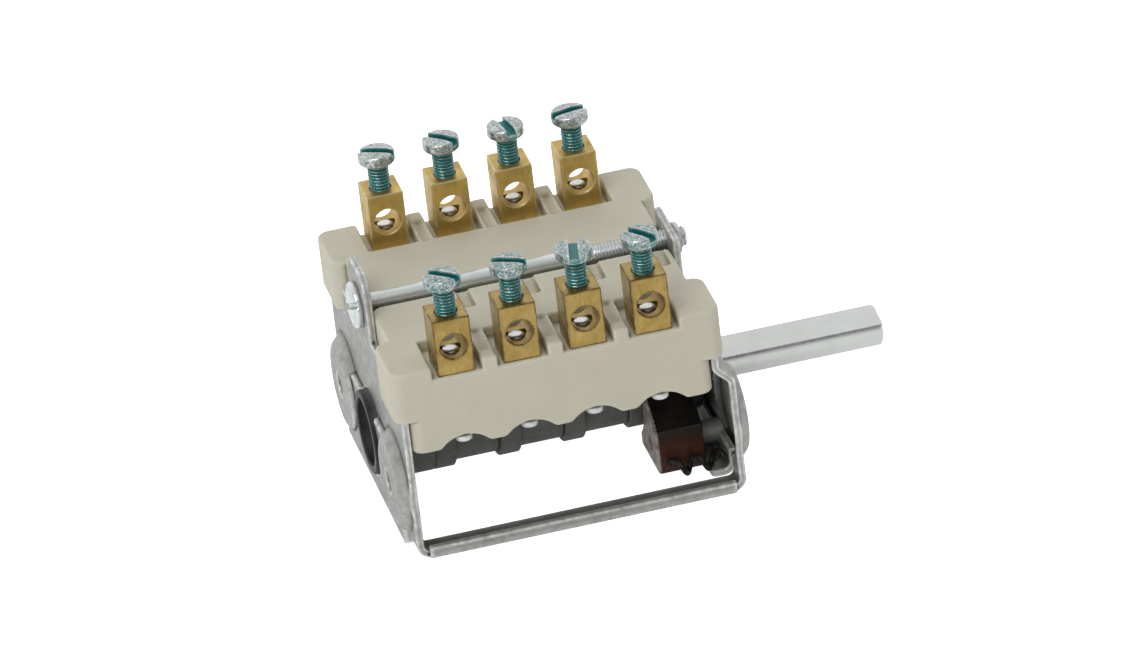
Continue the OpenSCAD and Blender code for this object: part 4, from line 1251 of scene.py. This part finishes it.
class SWITCH_OT_detent(Maker, bpy.types.Operator):
    """Detent pawl with its nose, its pivot pin and its spring"""
    bl_idname = "switch.detent"
    bl_label = "Detent"

    def execute(self, context):
        s, made = sizes("switch_detent"), finishes()
        lo, hi = corners("detent_pawl")
        # Start of the nose along X, how far it reaches back into the lever, and radius of its edges
        nose_start, nose_root, nose_edge = corners("block_left")[1][0] - 7.6, 0.8, 0.15
        points = [(lo[1], lo[2]), (hi[1], lo[2]), (hi[1], 0), (-s.nose_place, hi[2]),
                  (s.crown - s.pivot_out, hi[2]), (lo[1], -s.shoulder)]

        def field(x, y, z):
            """Outline with a hollow for the cams, and the nose, less the pivot hole."""
            shape = less(outline(y, z, points), disc(y, z, s.clear), 0.3)
            body = both(shape, slab(x, lo[0], hi[0]), s.edge)
            nose = np.minimum(disc(y + s.nose_place, z, s.nose),
                              rect(y, z, -s.nose_place - nose_root, -s.nose, -s.nose_place, s.nose))
            body = np.minimum(body, both(nose, slab(x, nose_start, hi[0]), nose_edge))
            return less(body, disc(y + s.pivot_out, z + s.pivot_drop, s.pin_hole / 2), nose_edge)

        def painted_shade(x, y, z):
            """Mark of the painted shadow that the block casts on the pawl: it begins under the pin and is
            full some way above it.
            """
            under, rise = 1, 5
            return ease((z + s.pivot_drop + under) / rise)

        def painted_sheen(x, y, z):
            """Mark of the painted grey sheen on the end face, down to a small depth."""
            depth, fade = 0.35, 0.15
            return ease((lo[0] + depth - x) / fade)

        grid = (ticks(lo[0], hi[0], 0.6, 0.25), ticks(lo[1] - 0.6, hi[1] + 0.9, 0, 0.22),
                ticks(lo[2], hi[2], 0.6, 0.22))
        place = ("detent_lever", "detent_pawl", made["brown"], 0, 0)
        net_pieces(field, grid, "pawl", "brown_moulding", [place], paint=painted_shade, edge=painted_sheen)
        repaint("pivot_pin", made["pin"])
        lo, hi = corners("detent_spring")
        middle = (lo + hi) / 2
        thick = s.wire / 2
        coil = (hi[2] - lo[2] - s.wire) / 2
        run = hi[0] - lo[0] - s.wire
        turns, per_turn = run / s.spring_pitch, 30
        t = np.linspace(0, 1, int(turns * per_turn))[:, None]
        a = 2 * math.pi * turns * t
        ring = full_turn(14)[None, :]
        slope = math.atan(s.spring_pitch / (2 * math.pi * coil))
        out = coil + thick * np.cos(ring)
        side = thick * np.sin(ring)
        rings = np.stack([lo[0] + thick + run * t + side * math.cos(slope),
                          middle[1] + out * np.cos(a) + side * math.sin(slope) * np.sin(a),
                          middle[2] + out * np.sin(a) - side * math.sin(slope) * np.cos(a)], axis=-1)
        verts, faces = closed_tube(rings)
        add_piece("coil_spring", verts, faces, "housing", "detent_spring", made["spring"],
                  sharp=50)
        return {"FINISHED"}


class SWITCH_OT_stage(Maker, bpy.types.Operator):
    """Pale floor, even soft light and the camera of the photograph"""
    bl_idname = "switch.stage"
    bl_label = "Stage"

    def execute(self, context):
        s = sizes("switch_stage")
        scene = context.scene
        scene.view_settings.view_transform = "Standard"
        # Height of the floor and half its width, in metres
        base, half = corners("frame")[0][2] * MM, 3.0
        mesh = bpy.data.meshes.new("floor")
        square = [(-half, -half, base), (half, -half, base), (half, half, base), (-half, half, base)]
        mesh.from_pydata(square, [], [(0, 1, 2, 3)])
        floor = bpy.data.objects.new("floor", mesh)
        scene.collection.objects.link(floor)
        material = bpy.data.materials.new("pale_floor")
        material.use_nodes = True
        tree = material.node_tree
        shader = tree.nodes["Principled BSDF"].inputs
        shader["Base Color"].default_value = (*s.floor, 1)
        shader["Roughness"].default_value = 0.8
        shader["Emission Color"].default_value = (1, 1, 1, 1)
        seen = node(tree, "ShaderNodeLightPath", {}).outputs["Is Camera Ray"]
        tree.links.new(calc(tree, "MULTIPLY_ADD", seen, s.glow, s.bounce), shader["Emission Strength"])
        mesh.materials.append(material)
        world = bpy.data.worlds.new("even_light")
        scene.world = world
        world.use_nodes = True
        tree = world.node_tree
        direction = tree.nodes.new("ShaderNodeTexCoord").outputs["Generated"]
        way = node(tree, "ShaderNodeSeparateXYZ", {0: direction})
        strength = node(tree, "ShaderNodeMapRange", {"Value": way.outputs["Y"], "From Min": -1.0,
                                                     "To Min": s.front_sky, "To Max": s.back_sky})
        sky = tree.nodes["Background"].inputs
        sky["Color"].default_value = (1, 1, 1, 1)
        tree.links.new(strength.outputs[0], sky["Strength"])
        # Place and width of each lamp in metres; both look at the middle of the switch
        for name, place, size, power in (("soft_lamp", (-0.35, -0.45, 0.7), 0.5, s.lamp),
                                         ("fill_lamp", (-0.75, -0.6, 0.1), 0.4, s.fill)):
            lamp = bpy.data.lights.new(name, "AREA")
            lamp.size = size
            lamp.energy = power
            holder = bpy.data.objects.new(name, lamp)
            aim = Vector((-0.02, 0, 0.01)) - Vector(place)
            turn = aim.to_track_quat("-Z", "Y").to_matrix().to_4x4()
            holder.matrix_world = Matrix.Translation(place) @ turn
            scene.collection.objects.link(holder)
        camera = bpy.data.cameras.new("camera")
        camera.lens = s.lens
        camera.sensor_width = 36
        camera.clip_end = 50
        holder = bpy.data.objects.new("camera", camera)
        # Directions and place of the camera, fitted to the photograph
        right = Vector((0.96487867, -0.24085298, -0.10487612))
        up = Vector((0.20473198, 0.43929813, 0.87470107))
        back = -Vector((0.16460248, 0.8654519, -0.4731797))
        place = Vector((-0.263073, -1.279362, 0.707724))
        rows = [(right[i], up[i], back[i], place[i]) for i in range(3)]
        holder.matrix_world = Matrix(rows + [(0, 0, 0, 1)])
        scene.collection.objects.link(holder)
        scene.camera = holder
        return {"FINISHED"}


OPERATORS = (SWITCH_OT_stage, SWITCH_OT_frame, SWITCH_OT_blocks, SWITCH_OT_terminals, SWITCH_OT_screws,
             SWITCH_OT_contacts, SWITCH_OT_camshaft, SWITCH_OT_shaft, SWITCH_OT_tie_screw, SWITCH_OT_detent)


class SWITCH_PT_build(bpy.types.Panel):
    """Buttons that make the switch, piece by piece"""
    bl_idname = "SWITCH_PT_build"
    bl_label = "Rotary cam switch"
    bl_space_type = "VIEW_3D"
    bl_region_type = "UI"
    bl_category = "Switch"

    def draw(self, context):
        for operator in OPERATORS:
            self.layout.operator(operator.bl_idname)


def register():
    """Registers the settings, the operators and the panel."""
    for cls in (*GROUPS.values(), *OPERATORS, SWITCH_PT_build):
        bpy.utils.register_class(cls)
    for name, cls in GROUPS.items():
        setattr(bpy.types.Scene, name, PointerProperty(type=cls))


def unregister():
    """Takes the settings, the operators and the panel out again."""
    for name in GROUPS:
        delattr(bpy.types.Scene, name)
    for cls in (SWITCH_PT_build, *reversed(OPERATORS), *reversed(GROUPS.values())):
        bpy.utils.unregister_class(cls)


def main():
    """Makes every piece in order."""
    register()
    for operator in OPERATORS:
        group, name = operator.bl_idname.split(".")
        getattr(getattr(bpy.ops, group), name)()


if __name__ == "__main__":
    main()
